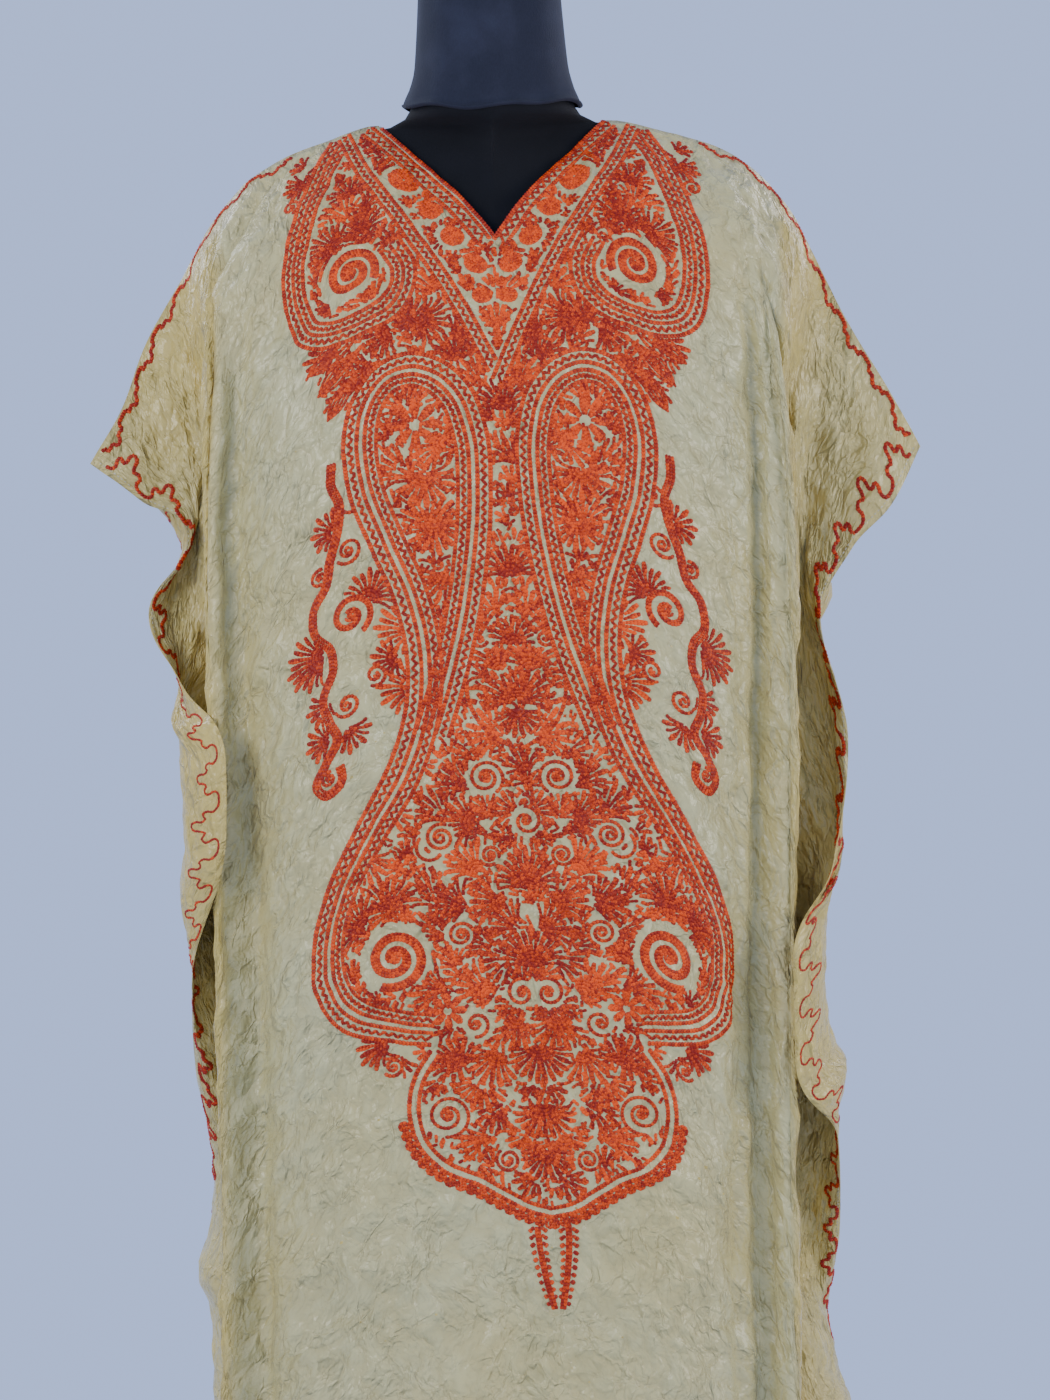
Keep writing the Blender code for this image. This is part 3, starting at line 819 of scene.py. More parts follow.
@dataclass
class Drape:
    """How one panel hangs, worked out from its flat cut as the solids are."""

    panel: Panel

    def shoulder(self, side: Side, across: Grid) -> Grid:
        """Places along the shoulder line, read by its length: x, y and drop."""
        line = np.array(SHOULDER_LINE[side])
        lengths = lengths_along(line)
        stretch = (HALF_WIDTH - NECK_HALF) / (lengths[-1] - NECK_HALF)
        lengths[2:] = NECK_HALF + (lengths[2:] - NECK_HALF) * stretch
        return curve_through(lengths, line, across)

    def sections(self, side: Side, down: Grid) -> Grid:
        """The named plan places of a half panel for each length down."""
        table = np.array(SECTIONS[self.panel, side])
        return curve_through(table[:, 0], table[:, 1:], down)

    def body_plan(self, side: Side, across: Grid, down: Grid) -> Grid:
        """Plan places of the cloth from the centre line to the seam, for each length down."""
        rows = self.sections(side, down)
        if self.panel is Panel.BACK:
            sewn = eased((down - ARM_OPEN_TO) / (UNDERARM - ARM_OPEN_TO))[:, None]
            rows[:, 7:] += (Drape(Panel.FRONT).sections(side, down)[:, 7:] - rows[:, 7:]) * sewn
        fold = FOLDS[self.panel, side]
        places = [-fold.flat, 0.0, *fold, SEAM_AT]
        plan = np.empty((len(down), len(across), 2))
        for index, row in enumerate(rows):
            named = np.array([[0.0, row[0]], row[1:3], row[3:5], row[5:7], row[7:9]])
            mirrored = np.vstack([[-named[1, 0], named[1, 1]], named])
            plan[index] = curve_through(places, mirrored, across, swings=True)
        return plan

    def flap_edges(self, side: Side, edge_top: Grid, down: Grid) -> tuple[Grid, Grid]:
        """Plan places of a flap's edge, and its bow and snake, for each length down."""
        table = np.array(FLAPS[self.panel, side], float)
        places = np.concatenate([[0.0], table[:, 0]])
        values = np.vstack([[*edge_top[:2], 0.0, 0.0], table[:, 1:]])
        read = curve_through(places, values, down)
        return read[:, :2], np.radians(read[:, 2:])

    def flap_path(self, chord: Grid, length: float, bow: float, snake: float) -> Grid:
        """Plan steps along a flap that spans a chord with more cloth than it needs."""
        share = (np.arange(FLAP_STEPS) + 0.5) / FLAP_STEPS
        bend = bow * (share - 0.5) + snake * np.sin(2 * math.pi * share)
        low, high = 0.0, MOST_BENT
        for _ in range(BEND_TRIES):
            steps = np.exp(-1j * bend * (low + high) / 2) * (length / FLAP_STEPS)
            if abs(steps.sum()) > np.hypot(*chord):
                low = (low + high) / 2
            else:
                high = (low + high) / 2
        steps *= complex(*chord) / steps.sum()
        path = np.concatenate([[0], np.cumsum(steps)])
        return np.stack([path.real, path.imag], axis=-1)

    def hang(self, side: Side, across: Grid) -> tuple[Grid, Grid]:
        """Drapes a half panel.

        Args:
            side: Which half.
            across: The columns' places from the centre line.

        Returns:
            Lengths down, and x, y and drop for each length and column.
        """
        asked = len(across)
        across = np.append(np.asarray(across, float), [SEAM_AT, HALF_WIDTH])
        down = np.arange(0.0, LENGTH + STEP_DOWN / 2, STEP_DOWN)
        top = self.shoulder(side, across)
        seam_top, edge_top = top[-2:]
        free = across > SEAM_AT
        body = self.body_plan(side, np.minimum(across, SEAM_AT), down)
        depth = np.abs(body[int(SETTLED_BY / STEP_DOWN), :, 1])
        settle = np.maximum(depth * SETTLE_RATIO, SETTLE_LEAST)
        settled = np.sin(np.clip(down[:, None] / settle, 0, 1) * math.pi / 2)[..., None]
        plan = np.where(free[:, None], seam_top[:2], top[:, :2]) * (1 - settled) + body * settled
        near_seam = eased((across - ARM_ROOM_STARTS) / (SEAM_AT - ARM_ROOM_STARTS))
        closing = eased((UNDERARM - down) / (UNDERARM - ARM_ROOM_CLOSES))
        room = ARM_ROOM * eased(down / ARM_ROOM_OPENS) * closing
        forward = self.panel.value * ((CAD_WALL + GAP) / 2 + room)
        plan[..., 1] += forward[:, None] * near_seam
        edges, bends = self.flap_edges(side, edge_top, down)
        edges[:, 1] += forward
        width = HALF_WIDTH - SEAM_AT
        at = (across[free] - SEAM_AT) / width * FLAP_STEPS
        straight = (across[free, None] - SEAM_AT) / width * (edge_top - seam_top)[:2]
        sagging = top[free, :2] - seam_top[:2] - straight
        drop = np.empty(plan.shape[:2])
        drop[0] = top[:, 2]
        for index in range(len(down)):
            dip = drop[max(index - 1, 0), -1] - drop[max(index - 1, 0), -2]
            chord = edges[index] - plan[index, -2]
            length = max(math.sqrt(max(width**2 - dip**2, 0.0)), np.hypot(*chord) * LEAST_SLACK)
            path = self.flap_path(chord, length, *bends[index])
            steps = np.arange(FLAP_STEPS + 1)
            offset = np.stack([np.interp(at, steps, path[:, axis]) for axis in (0, 1)], axis=-1)
            plan[index, free] += offset + sagging * (1 - eased(down[index] / WING_TAKES_OVER))
            if index:
                moved = np.linalg.norm(plan[index] - plan[index - 1], axis=1)
                least = (LEAST_FALL * STEP_DOWN) ** 2
                drop[index] = drop[index - 1] + np.sqrt(np.maximum(STEP_DOWN**2 - moved**2, least))
        return down, np.concatenate([plan, drop[:, :, None]], axis=2)[:, :asked]

    def seam_correction(self, side: Side, across: Grid, down: Grid) -> Grid:
        """Lifts or lowers the back so that its seam meets the front's."""
        front = Drape(Panel.FRONT).hang(side, np.array([SEAM_AT]))[1][:, 0, 2]
        back = self.hang(side, np.array([SEAM_AT]))[1][:, 0, 2]
        share = eased(np.minimum(across, SEAM_AT) / SEAM_AT)
        return (front - back)[:, None] * eased(down / UNDERARM)[:, None] * share[None]

    def neck_cut(self, across: Grid) -> Grid:
        """How far down the neck is cut at places across."""
        share = np.clip(1 - np.abs(across) / NECK_HALF, 0, 1)
        if self.panel is Panel.FRONT:
            return V_DEPTH * share
        return BACK_NECK_DEPTH * np.sqrt(np.clip(1 - (1 - share) ** 2, 0, 1))

    def lengths_down(self, across: Grid, rows: Grid) -> Grid:
        """How far down each point of a grid lies once the neck is cut."""
        closing = np.clip(1 - rows / UNDERARM, 0, 1)[:, None]
        return rows[:, None] + self.neck_cut(across)[None] * closing

    def surface(self, across: Grid, rows: Grid) -> tuple[Grid, Grid]:
        """A grid of points on the panel's middle surface.

        Args:
            across: Columns from the left edge to the right edge, 0 at the centre line.
            rows: Lengths down, before the neck is cut.

        Returns:
            The points, and the length down of each.
        """
        points = np.empty((len(rows), len(across), 3))
        lengths = self.lengths_down(across, rows)
        for side in Side:
            chosen = np.nonzero(across * side.value > (0 if side is Side.RIGHT else -1e-9))[0]
            places = np.abs(across[chosen])
            down, drape = self.hang(side, places)
            if self.panel is Panel.BACK:
                drape[:, :, 2] += self.seam_correction(side, places, down)
            for index, column in enumerate(chosen):
                for axis in range(3):
                    read = np.interp(lengths[:, column], down, drape[:, index, axis])
                    points[:, column, axis] = read * (side.value if axis == 0 else 1)
        points[..., 2] = SHOULDER_Z - points[..., 2]
        return points, lengths


def normals_of(grid: Grid) -> Grid:
    """Unit normals of a grid of points."""
    normals = np.cross(np.gradient(grid, axis=0), np.gradient(grid, axis=1))
    return normals / np.maximum(np.linalg.norm(normals, axis=2, keepdims=True), 1e-9)


FRONT_CREASES = rows_of(Crease, (
    (0.190, 0.015, 0.188, 1.310, 0.0055, -0.0030), (0.199, 0.040, 0.202, 0.700, 0.0060, 0.0050),
    (0.212, 0.060, 0.216, 0.600, 0.0050, -0.0025), (0.216, 0.060, 0.232, 0.420, 0.0055, 0.0065),
    (0.232, 0.360, 0.236, 0.900, 0.0060, 0.0050), (0.220, 0.105, 0.256, 0.185, 0.0060, 0.0065),
    (0.178, 0.560, 0.174, 1.310, 0.0070, 0.0050), (0.214, 0.560, 0.212, 1.310, 0.0055, 0.0055),
    (0.270, 0.018, 0.455, 0.020, 0.0090, 0.0060), (0.280, 0.035, 0.335, 0.230, 0.0120, 0.0050),
    (0.315, 0.030, 0.385, 0.210, 0.0120, -0.0045), (0.360, 0.030, 0.420, 0.190, 0.0110, 0.0050),
    (0.350, 0.110, 0.395, 0.116, 0.0050, 0.0025), (0.425, 0.050, 0.405, 0.330, 0.0120, -0.0035),
    (-0.180, 0.010, -0.252, 0.085, 0.0055, 0.0065), (-0.250, 0.080, -0.252, 0.380, 0.0060, 0.0065),
    (-0.238, 0.110, -0.238, 0.480, 0.0060, -0.0030), (-0.222, 0.160, -0.226, 0.460, 0.0070, 0.0050),
    (-0.204, 0.080, -0.202, 0.520, 0.0080, -0.0025), (-0.240, 0.440, -0.232, 0.680, 0.0060, 0.0060),
    (-0.208, 0.560, -0.204, 1.310, 0.0080, 0.0050), (-0.280, 0.018, -0.455, 0.020, 0.0090, 0.0050),
    (-0.290, 0.035, -0.340, 0.230, 0.0120, 0.0045), (-0.325, 0.030, -0.390, 0.210, 0.0120, -0.0040),
    (-0.370, 0.030, -0.430, 0.190, 0.0110, 0.0045), (-0.420, 0.060, -0.390, 0.330, 0.0120, -0.0030),
    (-0.140, 0.600, -0.150, 1.250, 0.0120, 0.0025), (0.120, 0.900, 0.130, 1.300, 0.0140, -0.0030),
    (-0.060, 1.020, -0.085, 1.300, 0.0160, 0.0030), (0.030, 1.060, 0.045, 1.310, 0.0140, -0.0030),
    (0.060, 0.940, 0.120, 0.915, 0.0060, 0.0025),
))
BACK_CREASES = rows_of(Crease, (
    (0.060, 0.080, 0.110, 0.420, 0.0140, 0.0045), (-0.070, 0.080, -0.120, 0.400, 0.0140, 0.0045),
    (0.130, 0.100, 0.160, 0.700, 0.0120, -0.0045), (-0.135, 0.120, -0.150, 0.760, 0.0120, -0.0045),
    (0.186, 0.060, 0.192, 1.310, 0.0070, 0.0055), (-0.186, 0.060, -0.192, 1.310, 0.0070, 0.0055),
    (0.000, 0.300, 0.015, 1.250, 0.0200, 0.0040), (0.050, 0.560, 0.066, 1.310, 0.0120, -0.0035),
    (-0.060, 0.620, -0.052, 1.310, 0.0120, -0.0035), (0.232, 0.080, 0.236, 0.700, 0.0070, 0.0050),
    (-0.232, 0.080, -0.236, 0.700, 0.0070, 0.0050), (0.300, 0.030, 0.320, 0.260, 0.0100, 0.0035),
    (-0.300, 0.030, -0.320, 0.260, 0.0100, 0.0035),
))


# The layers of crush, coarse, ridges and fine: the facets' size in metres, their tilt and their bowl
CRUSH = ((0.034, 0.22, 0.16), (0.027, 0.22, 0.16), (0.013, 0.20, 0.20))


@dataclass
class ClothPanel:
    """One cut panel as a thin shell of crushed silk on its solid's form."""

    panel: Panel
    spacing: float
    creases: tuple[Crease, ...]
    thickness: float = 0.0006
    seed: int = 11
    calm_edge: float = 0.012
    calm_shoulder: float = 0.05
    shoulder_crush: float = 0.25
    folds: tuple[float, float] = (0.165, 0.270)
    plain_spacing: float = 1.18
    folds_spacing: float = 0.62
    coarse_share: float = 0.50
    fine_share: float = 0.7
    crease_fade: float = 0.7
    # Where the painted fold shade begins across the cut, how fast it grows, and how much of it the wing
    # keeps off
    fold_shade_from: float = 0.232
    fold_shade_over: float = 0.022
    wing_from: float = 0.30
    wing_over: float = 0.09
    wing_shown: float = 0.45
    across: Grid = field(init=False)
    rows: Grid = field(init=False)
    grid: Grid = field(init=False)
    normals: Grid = field(init=False)

    def __post_init__(self) -> None:
        """Works out the shell's middle surface."""
        flat, folded = self.folds
        outermost = round((HALF_WIDTH - folded) / self.spacing / self.plain_spacing)
        halves = [
            np.arange(0.0, flat, self.spacing * self.plain_spacing),
            np.arange(flat, folded, self.spacing * self.folds_spacing),
            np.linspace(folded, HALF_WIDTH, outermost + 1),
        ]
        half = np.concatenate(halves)
        self.across = np.concatenate([-half[:0:-1], half])
        self.rows = np.linspace(0.0, LENGTH, round(LENGTH / self.spacing) + 1)
        points, lengths = Drape(self.panel).surface(self.across, self.rows)
        normals = self.outward(points)
        relief = self.relief(np.broadcast_to(self.across, lengths.shape), lengths)
        self.grid = points + normals * relief[..., None]
        self.grid[0, :, 1] += self.panel.value * (CAD_WALL + GAP) / 2
        self.normals = self.outward(self.grid)

    def outward(self, points: Grid) -> Grid:
        """Unit normals that point away from the hollow."""
        normals = normals_of(points)
        middle = normals[len(points) // 2, points.shape[1] // 2, 1]
        return normals * math.copysign(1.0, middle * self.panel.value)

    def relief(self, across: Grid, down: Grid) -> Grid:
        """Creases and crush in metres at places of the flat cut."""
        coarse, ridges, fine = (
            Crumple(*layer, self.seed + order).height(across, down) for order, layer in enumerate(CRUSH)
        )
        relief = (coarse - ridges) * self.coarse_share + (fine - fine.mean()) * self.fine_share
        for crease in self.creases:
            start = np.array([crease.across, crease.down])
            along = np.array([crease.across_to, crease.down_to]) - start
            away = np.stack([across - start[0], down - start[1]], axis=-1)
            share = np.clip(away @ along / (along @ along), 0, 1)
            apart = np.linalg.norm(away - share[..., None] * along, axis=-1) / crease.half_width
            fades = np.sin(math.pi * np.clip(share, 0.02, 0.98)) ** self.crease_fade
            relief -= crease.depth * fades * np.exp(-(apart**2))
        edge = np.minimum(HALF_WIDTH - np.abs(across), LENGTH - down)
        seam = np.abs(np.abs(across) - SEAM_AT)
        calm = eased(edge / self.calm_edge) * eased(seam / self.calm_edge)
        calm *= self.shoulder_crush + (1 - self.shoulder_crush) * eased(down / self.calm_shoulder)
        return relief * calm

    def fold_shade_share(self) -> Grid:
        """How deep in the folds each point lies, as a share of painted shade that makes the cloth look
        warmer there.
        """
        fold = np.abs(self.across)
        in_wing = eased((fold - self.wing_from) / self.wing_over)
        depth = eased((fold - self.fold_shade_from) / self.fold_shade_over) * (1 - self.wing_shown * in_wing)
        return np.broadcast_to(depth, self.grid.shape[:2])

    def locate(self, across: Grid, down: Grid) -> tuple[Grid, Grid]:
        """Places and normals on the shell at places of the flat cut."""
        cut = Drape(self.panel).neck_cut(across)
        unmoved = np.where(down < UNDERARM, (down - cut) / (1 - cut / UNDERARM), down)
        column = np.interp(across, self.across, np.arange(len(self.across)))
        row = np.clip(unmoved / LENGTH, 0, 1) * (len(self.rows) - 1)
        c = np.minimum(column.astype(int), len(self.across) - 2)
        r = np.minimum(row.astype(int), len(self.rows) - 2)
        fc, fr = (column - c)[:, None], (row - r)[:, None]
        read = []
        for table in (self.grid, self.normals):
            upper = table[r, c] * (1 - fc) + table[r, c + 1] * fc
            lower = table[r + 1, c] * (1 - fc) + table[r + 1, c + 1] * fc
            read.append(upper * (1 - fr) + lower * fr)
        return read[0], read[1] / np.linalg.norm(read[1], axis=1, keepdims=True)

    def build(self, material: bpy.types.Material) -> bpy.types.Object:
        """Makes the shell and stands it in for its solid."""
        rows, columns = self.grid.shape[:2]
        count = rows * columns
        half = self.normals * self.thickness / 2
        points = np.concatenate([(self.grid + half).reshape(-1, 3), (self.grid - half).reshape(-1, 3)])
        number = np.arange(count).reshape(rows, columns)
        first = number[:-1, :-1].ravel()
        outer = np.stack([first, first + columns, first + columns + 1, first + 1], axis=1)
        inner = outer[:, ::-1] + count
        rim = np.concatenate([number[0], number[1:, -1], number[-1, -2::-1], number[-2:0:-1, 0]])
        after = np.roll(rim, -1)
        edge = np.stack([rim, after, after + count, rim + count], axis=1)
        faces = np.concatenate([outer, inner, edge])
        if self.panel is Panel.BACK:
            faces = faces[:, ::-1]
        thing = grid_mesh(f"{self.panel.name.lower()}_cloth", points, faces, material)
        mesh = thing.data
        flat = mesh.uv_layers.new(name="flat")
        lengths = Drape(self.panel).lengths_down(self.across, self.rows)
        places = np.stack([np.broadcast_to(self.across, lengths.shape), lengths], axis=-1)
        places = np.concatenate([places.reshape(-1, 2)] * 2)
        corner = np.empty(len(mesh.loops), np.int32)
        mesh.loops.foreach_get("vertex_index", corner)
        flat.data.foreach_set("uv", places[corner].astype(np.float32).ravel())
        # Painted fold shade for the material: the outer face by its depth in the folds, the inner face
        # fully shaded
        carry(mesh, "painted_fold_shade", np.concatenate([self.fold_shade_share().ravel(), np.ones(count)]))
        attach(thing, "root")
        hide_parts(f"kaftan_{self.panel.name.lower()}")
        log.info("%s: %d faces", thing.name, len(mesh.polygons))
        return thing


class Row(Enum):
    """What a row of a band is."""

    LINE = "line"
    ZIGZAG = "zigzag"
    BARE = "bare"


class BandRow(NamedTuple):
    """One row of a band: how far in it runs, its wave, the wave's length and the width."""

    kind: Row
    inwards: float
    wave: float = 0.0
    repeat: float = 0.0
    width: float = 0.0023


class Spot(NamedTuple):
    """A motif's place in the design, its size, and the way it points in degrees, 90 being down."""

    out: float
    down: float
    size: float
    way: float = 0.0

    @property
    def turn(self) -> float:
        """The way it points, in radians."""
        return math.radians(self.way)


# Where the design's own centre line runs, beside the panel's
LEAN = ((0.10, -0.004), (0.25, 0.000), (0.45, 0.005), (0.65, 0.011), (0.80, 0.018), (0.97, 0.026))

# Lines of the right half of the design: out from its centre line, and down
NECK_EDGE = ((0.090, -0.001), (0.067, 0.033), (0.045, 0.066), (0.022, 0.100), (0.000, 0.134))
YOKE_LINE = ((0.120, 0.004), (0.104, 0.055), (0.078, 0.108), (0.050, 0.160), (0.024, 0.210), (0.003, 0.254))
TOP_PAISLEY = (
    (0.126, 0.003), (0.143, 0.035), (0.157, 0.070), (0.168, 0.104), (0.172, 0.135), (0.168, 0.165),
    (0.156, 0.189), (0.134, 0.203), (0.104, 0.206), (0.078, 0.196), (0.064, 0.176), (0.062, 0.152),
    (0.072, 0.130),
)
LONG_PAISLEY = (
    (0.052, 0.520), (0.040, 0.485), (0.027, 0.440), (0.017, 0.390), (0.011, 0.335), (0.012, 0.288),
    (0.022, 0.256), (0.040, 0.236), (0.064, 0.227), (0.089, 0.233), (0.107, 0.254), (0.115, 0.286),
    (0.112, 0.326), (0.099, 0.370), (0.085, 0.410), (0.078, 0.450), (0.081, 0.495), (0.097, 0.540),
    (0.123, 0.580), (0.148, 0.618), (0.162, 0.655), (0.163, 0.688), (0.152, 0.718), (0.130, 0.740),
    (0.104, 0.751), (0.080, 0.756),
)
LOW_PAISLEY = (
    (0.080, 0.760), (0.094, 0.782), (0.099, 0.810), (0.092, 0.838), (0.075, 0.857), (0.054, 0.868),
    (0.036, 0.880), (0.016, 0.892), (0.000, 0.896),
)
HEART = ((0.000, 0.412), (0.018, 0.432), (0.033, 0.462), (0.036, 0.492), (0.024, 0.516), (0.004, 0.530))
SPRAY = (
    (0.125, 0.296), (0.126, 0.312), (0.120, 0.330), (0.123, 0.350), (0.130, 0.368), (0.134, 0.386),
    (0.145, 0.400), (0.146, 0.418), (0.134, 0.436), (0.133, 0.452), (0.141, 0.470), (0.137, 0.490),
    (0.132, 0.504), (0.143, 0.520), (0.151, 0.534), (0.143, 0.544), (0.131, 0.538), (0.132, 0.526),
)
SPIKES = rows_of(Spot, (
    (0.098, 0.188, 0.0540, 2), (0.094, 0.198, 0.0560, 22), (0.100, 0.214, 0.0440, 36),
    (0.104, 0.232, 0.0380, 52),
))
STEM = ((0.0115, 0.890), (0.0115, 0.912), (0.0085, 0.940), (0.0030, 0.968))

# How wide the design is under its outer lines, read down
FILLED = (
    (0.000, 0.106), (0.060, 0.130), (0.110, 0.142), (0.150, 0.148), (0.185, 0.140), (0.215, 0.128),
    (0.240, 0.118), (0.270, 0.112), (0.330, 0.102), (0.380, 0.086), (0.420, 0.073), (0.460, 0.070),
    (0.500, 0.075), (0.550, 0.094), (0.590, 0.120), (0.640, 0.146), (0.680, 0.150), (0.715, 0.138),
    (0.742, 0.112), (0.760, 0.084), (0.820, 0.092), (0.850, 0.072), (0.875, 0.042), (0.894, 0.004),
)

NECK_BAND = (
    BandRow(Row.LINE, 0.0018, width=0.0042),
    BandRow(Row.ZIGZAG, 0.0072, 0.0027, 0.0078, 0.0030),
    BandRow(Row.LINE, 0.0124, width=0.0042),
)
YOKE_BAND = (
    BandRow(Row.LINE, 0.0, width=0.0042),
    BandRow(Row.ZIGZAG, 0.0046, 0.0019, 0.0064, 0.0028),
    BandRow(Row.LINE, 0.0092, width=0.0042),
    BandRow(Row.BARE, 0.0124, width=0.0018),
)
WIDE_BAND = (
    BandRow(Row.LINE, 0.0, width=0.0044),
    BandRow(Row.ZIGZAG, 0.0048, 0.0020, 0.0068, 0.0030),
    BandRow(Row.LINE, 0.0094, width=0.0040),
    BandRow(Row.ZIGZAG, 0.0138, 0.0019, 0.0064, 0.0028),
    BandRow(Row.LINE, 0.0182, width=0.0042),
    BandRow(Row.BARE, 0.0216, width=0.0026),
)
PAISLEY_BAND = (
    BandRow(Row.LINE, 0.0, width=0.0044),
    BandRow(Row.ZIGZAG, 0.0049, 0.0021, 0.0070, 0.0030),
    BandRow(Row.LINE, 0.0097, width=0.0042),
    BandRow(Row.BARE, 0.0126, width=0.0018),
    BandRow(Row.LINE, 0.0156, width=0.0042),
    BandRow(Row.ZIGZAG, 0.0198, 0.0018, 0.0062, 0.0030),
    BandRow(Row.LINE, 0.0240, width=0.0040),
)
THIN_BAND = (
    BandRow(Row.LINE, 0.0, width=0.0044),
    BandRow(Row.BARE, 0.0034, width=0.0014),
    BandRow(Row.LINE, 0.0068, width=0.0042),
)

MEDALLIONS = rows_of(Spot, (
    (0.067, 0.071, 0.0160, -50), (0.047, 0.104, 0.0120, -50), (0.031, 0.132, 0.0118, -40),
    (0.014, 0.157, 0.0110, -20), (0.010, 0.184, 0.0095, 0),
))
SPIRALS = rows_of(Spot, (
    (0.113, 0.150, 0.0225, 150), (0.101, 0.686, 0.0250, 60), (0.072, 0.812, 0.0170, 80),
    (0.027, 0.552, 0.0140, 120), (0.062, 0.596, 0.0110, 240), (0.052, 0.672, 0.0110, 100),
    (0.027, 0.612, 0.0085, 20), (0.024, 0.446, 0.0080, 200), (0.030, 0.850, 0.0095, 300),
))
SIDE_SPIRALS = rows_of(Spot, (
    (0.111, 0.332, 0.0100, 200), (0.116, 0.366, 0.0105, 30), (0.138, 0.378, 0.0070, 250),
    (0.117, 0.416, 0.0175, 120), (0.101, 0.466, 0.0085, 60), (0.123, 0.482, 0.0095, 10),
    (0.141, 0.532, 0.0060, 250), (0.163, 0.062, 0.0080, 100), (0.108, 0.770, 0.0080, 30),
))
SIDE_FANS = rows_of(Spot, (
    (0.124, 0.348, 0.0200, -28), (0.140, 0.436, 0.0300, 4), (0.104, 0.410, 0.0260, -120),
    (0.084, 0.455, 0.0200, 10), (0.136, 0.474, 0.0190, 30), (0.124, 0.500, 0.0200, 110),
    (0.138, 0.502, 0.0200, -12), (0.150, 0.040, 0.0200, 30), (0.148, 0.032, 0.0160, 140),
    (0.150, 0.022, 0.0140, -30), (0.110, 0.752, 0.0240, -8), (0.102, 0.762, 0.0180, 60),
))
INNER_FANS = rows_of(Spot, (
    (0.122, 0.122, 0.0300, -20), (0.104, 0.118, 0.0300, -75), (0.112, 0.078, 0.0240, -90),
    (0.132, 0.180, 0.0120, 60), (0.120, 0.656, 0.0280, -30), (0.104, 0.648, 0.0280, -95),
    (0.000, 0.452, 0.0230, -90), (0.000, 0.500, 0.0220, 90), (0.000, 0.400, 0.0260, -90),
    (0.000, 0.640, 0.0320, -90), (0.000, 0.700, 0.0320, -90), (0.000, 0.760, 0.0300, 90),
    (0.000, 0.806, 0.0280, 90), (0.000, 0.842, 0.0260, 90), (0.058, 0.776, 0.0260, -60),
    (0.042, 0.856, 0.0180, -120), (0.034, 0.216, 0.0240, 200), (0.060, 0.200, 0.0260, 170),
    (0.080, 0.208, 0.0240, 20),
))
PALMETTES = rows_of(Spot, (
    (0.058, 0.318, 0.0250, 92), (0.053, 0.356, 0.0240, 96), (0.047, 0.394, 0.0230, 96),
    (0.044, 0.430, 0.0200, 84), (0.050, 0.464, 0.0190, 70), (0.060, 0.498, 0.0190, 62),
    (0.076, 0.532, 0.0200, 56), (0.096, 0.568, 0.0220, 56), (0.116, 0.602, 0.0240, 66),
))
FLOWERS = (Spot(0.063, 0.281, 0.0190), Spot(0.066, 0.730, 0.0130))


def smooth_line(marks: Any, step: float = 0.0008) -> Grid:
    """A smooth line through marks, as points closer than a stitch."""
    marks = np.asarray(marks, float)
    lengths = lengths_along(marks)
    return curve_through(lengths, marks, np.arange(0.0, lengths[-1], step), swings=True)


def evenly(line: Grid, pitch: float) -> Grid:
    """Points along a line at even steps."""
    lengths = lengths_along(line)
    count = max(int(round(lengths[-1] / pitch)), 1)
    at = np.linspace(0, lengths[-1], count + 1)
    return np.stack([np.interp(at, lengths, line[:, axis]) for axis in (0, 1)], axis=1)


def beside(line: Grid, offset: Any) -> Grid:
    """A line that runs beside another, to its right as it is drawn."""
    ahead = np.gradient(line, axis=0)
    ahead /= np.maximum(np.linalg.norm(ahead, axis=1, keepdims=True), 1e-12)
    aside = np.stack([-ahead[:, 1], ahead[:, 0]], axis=1)
    return line + aside * np.reshape(offset, (-1, 1))


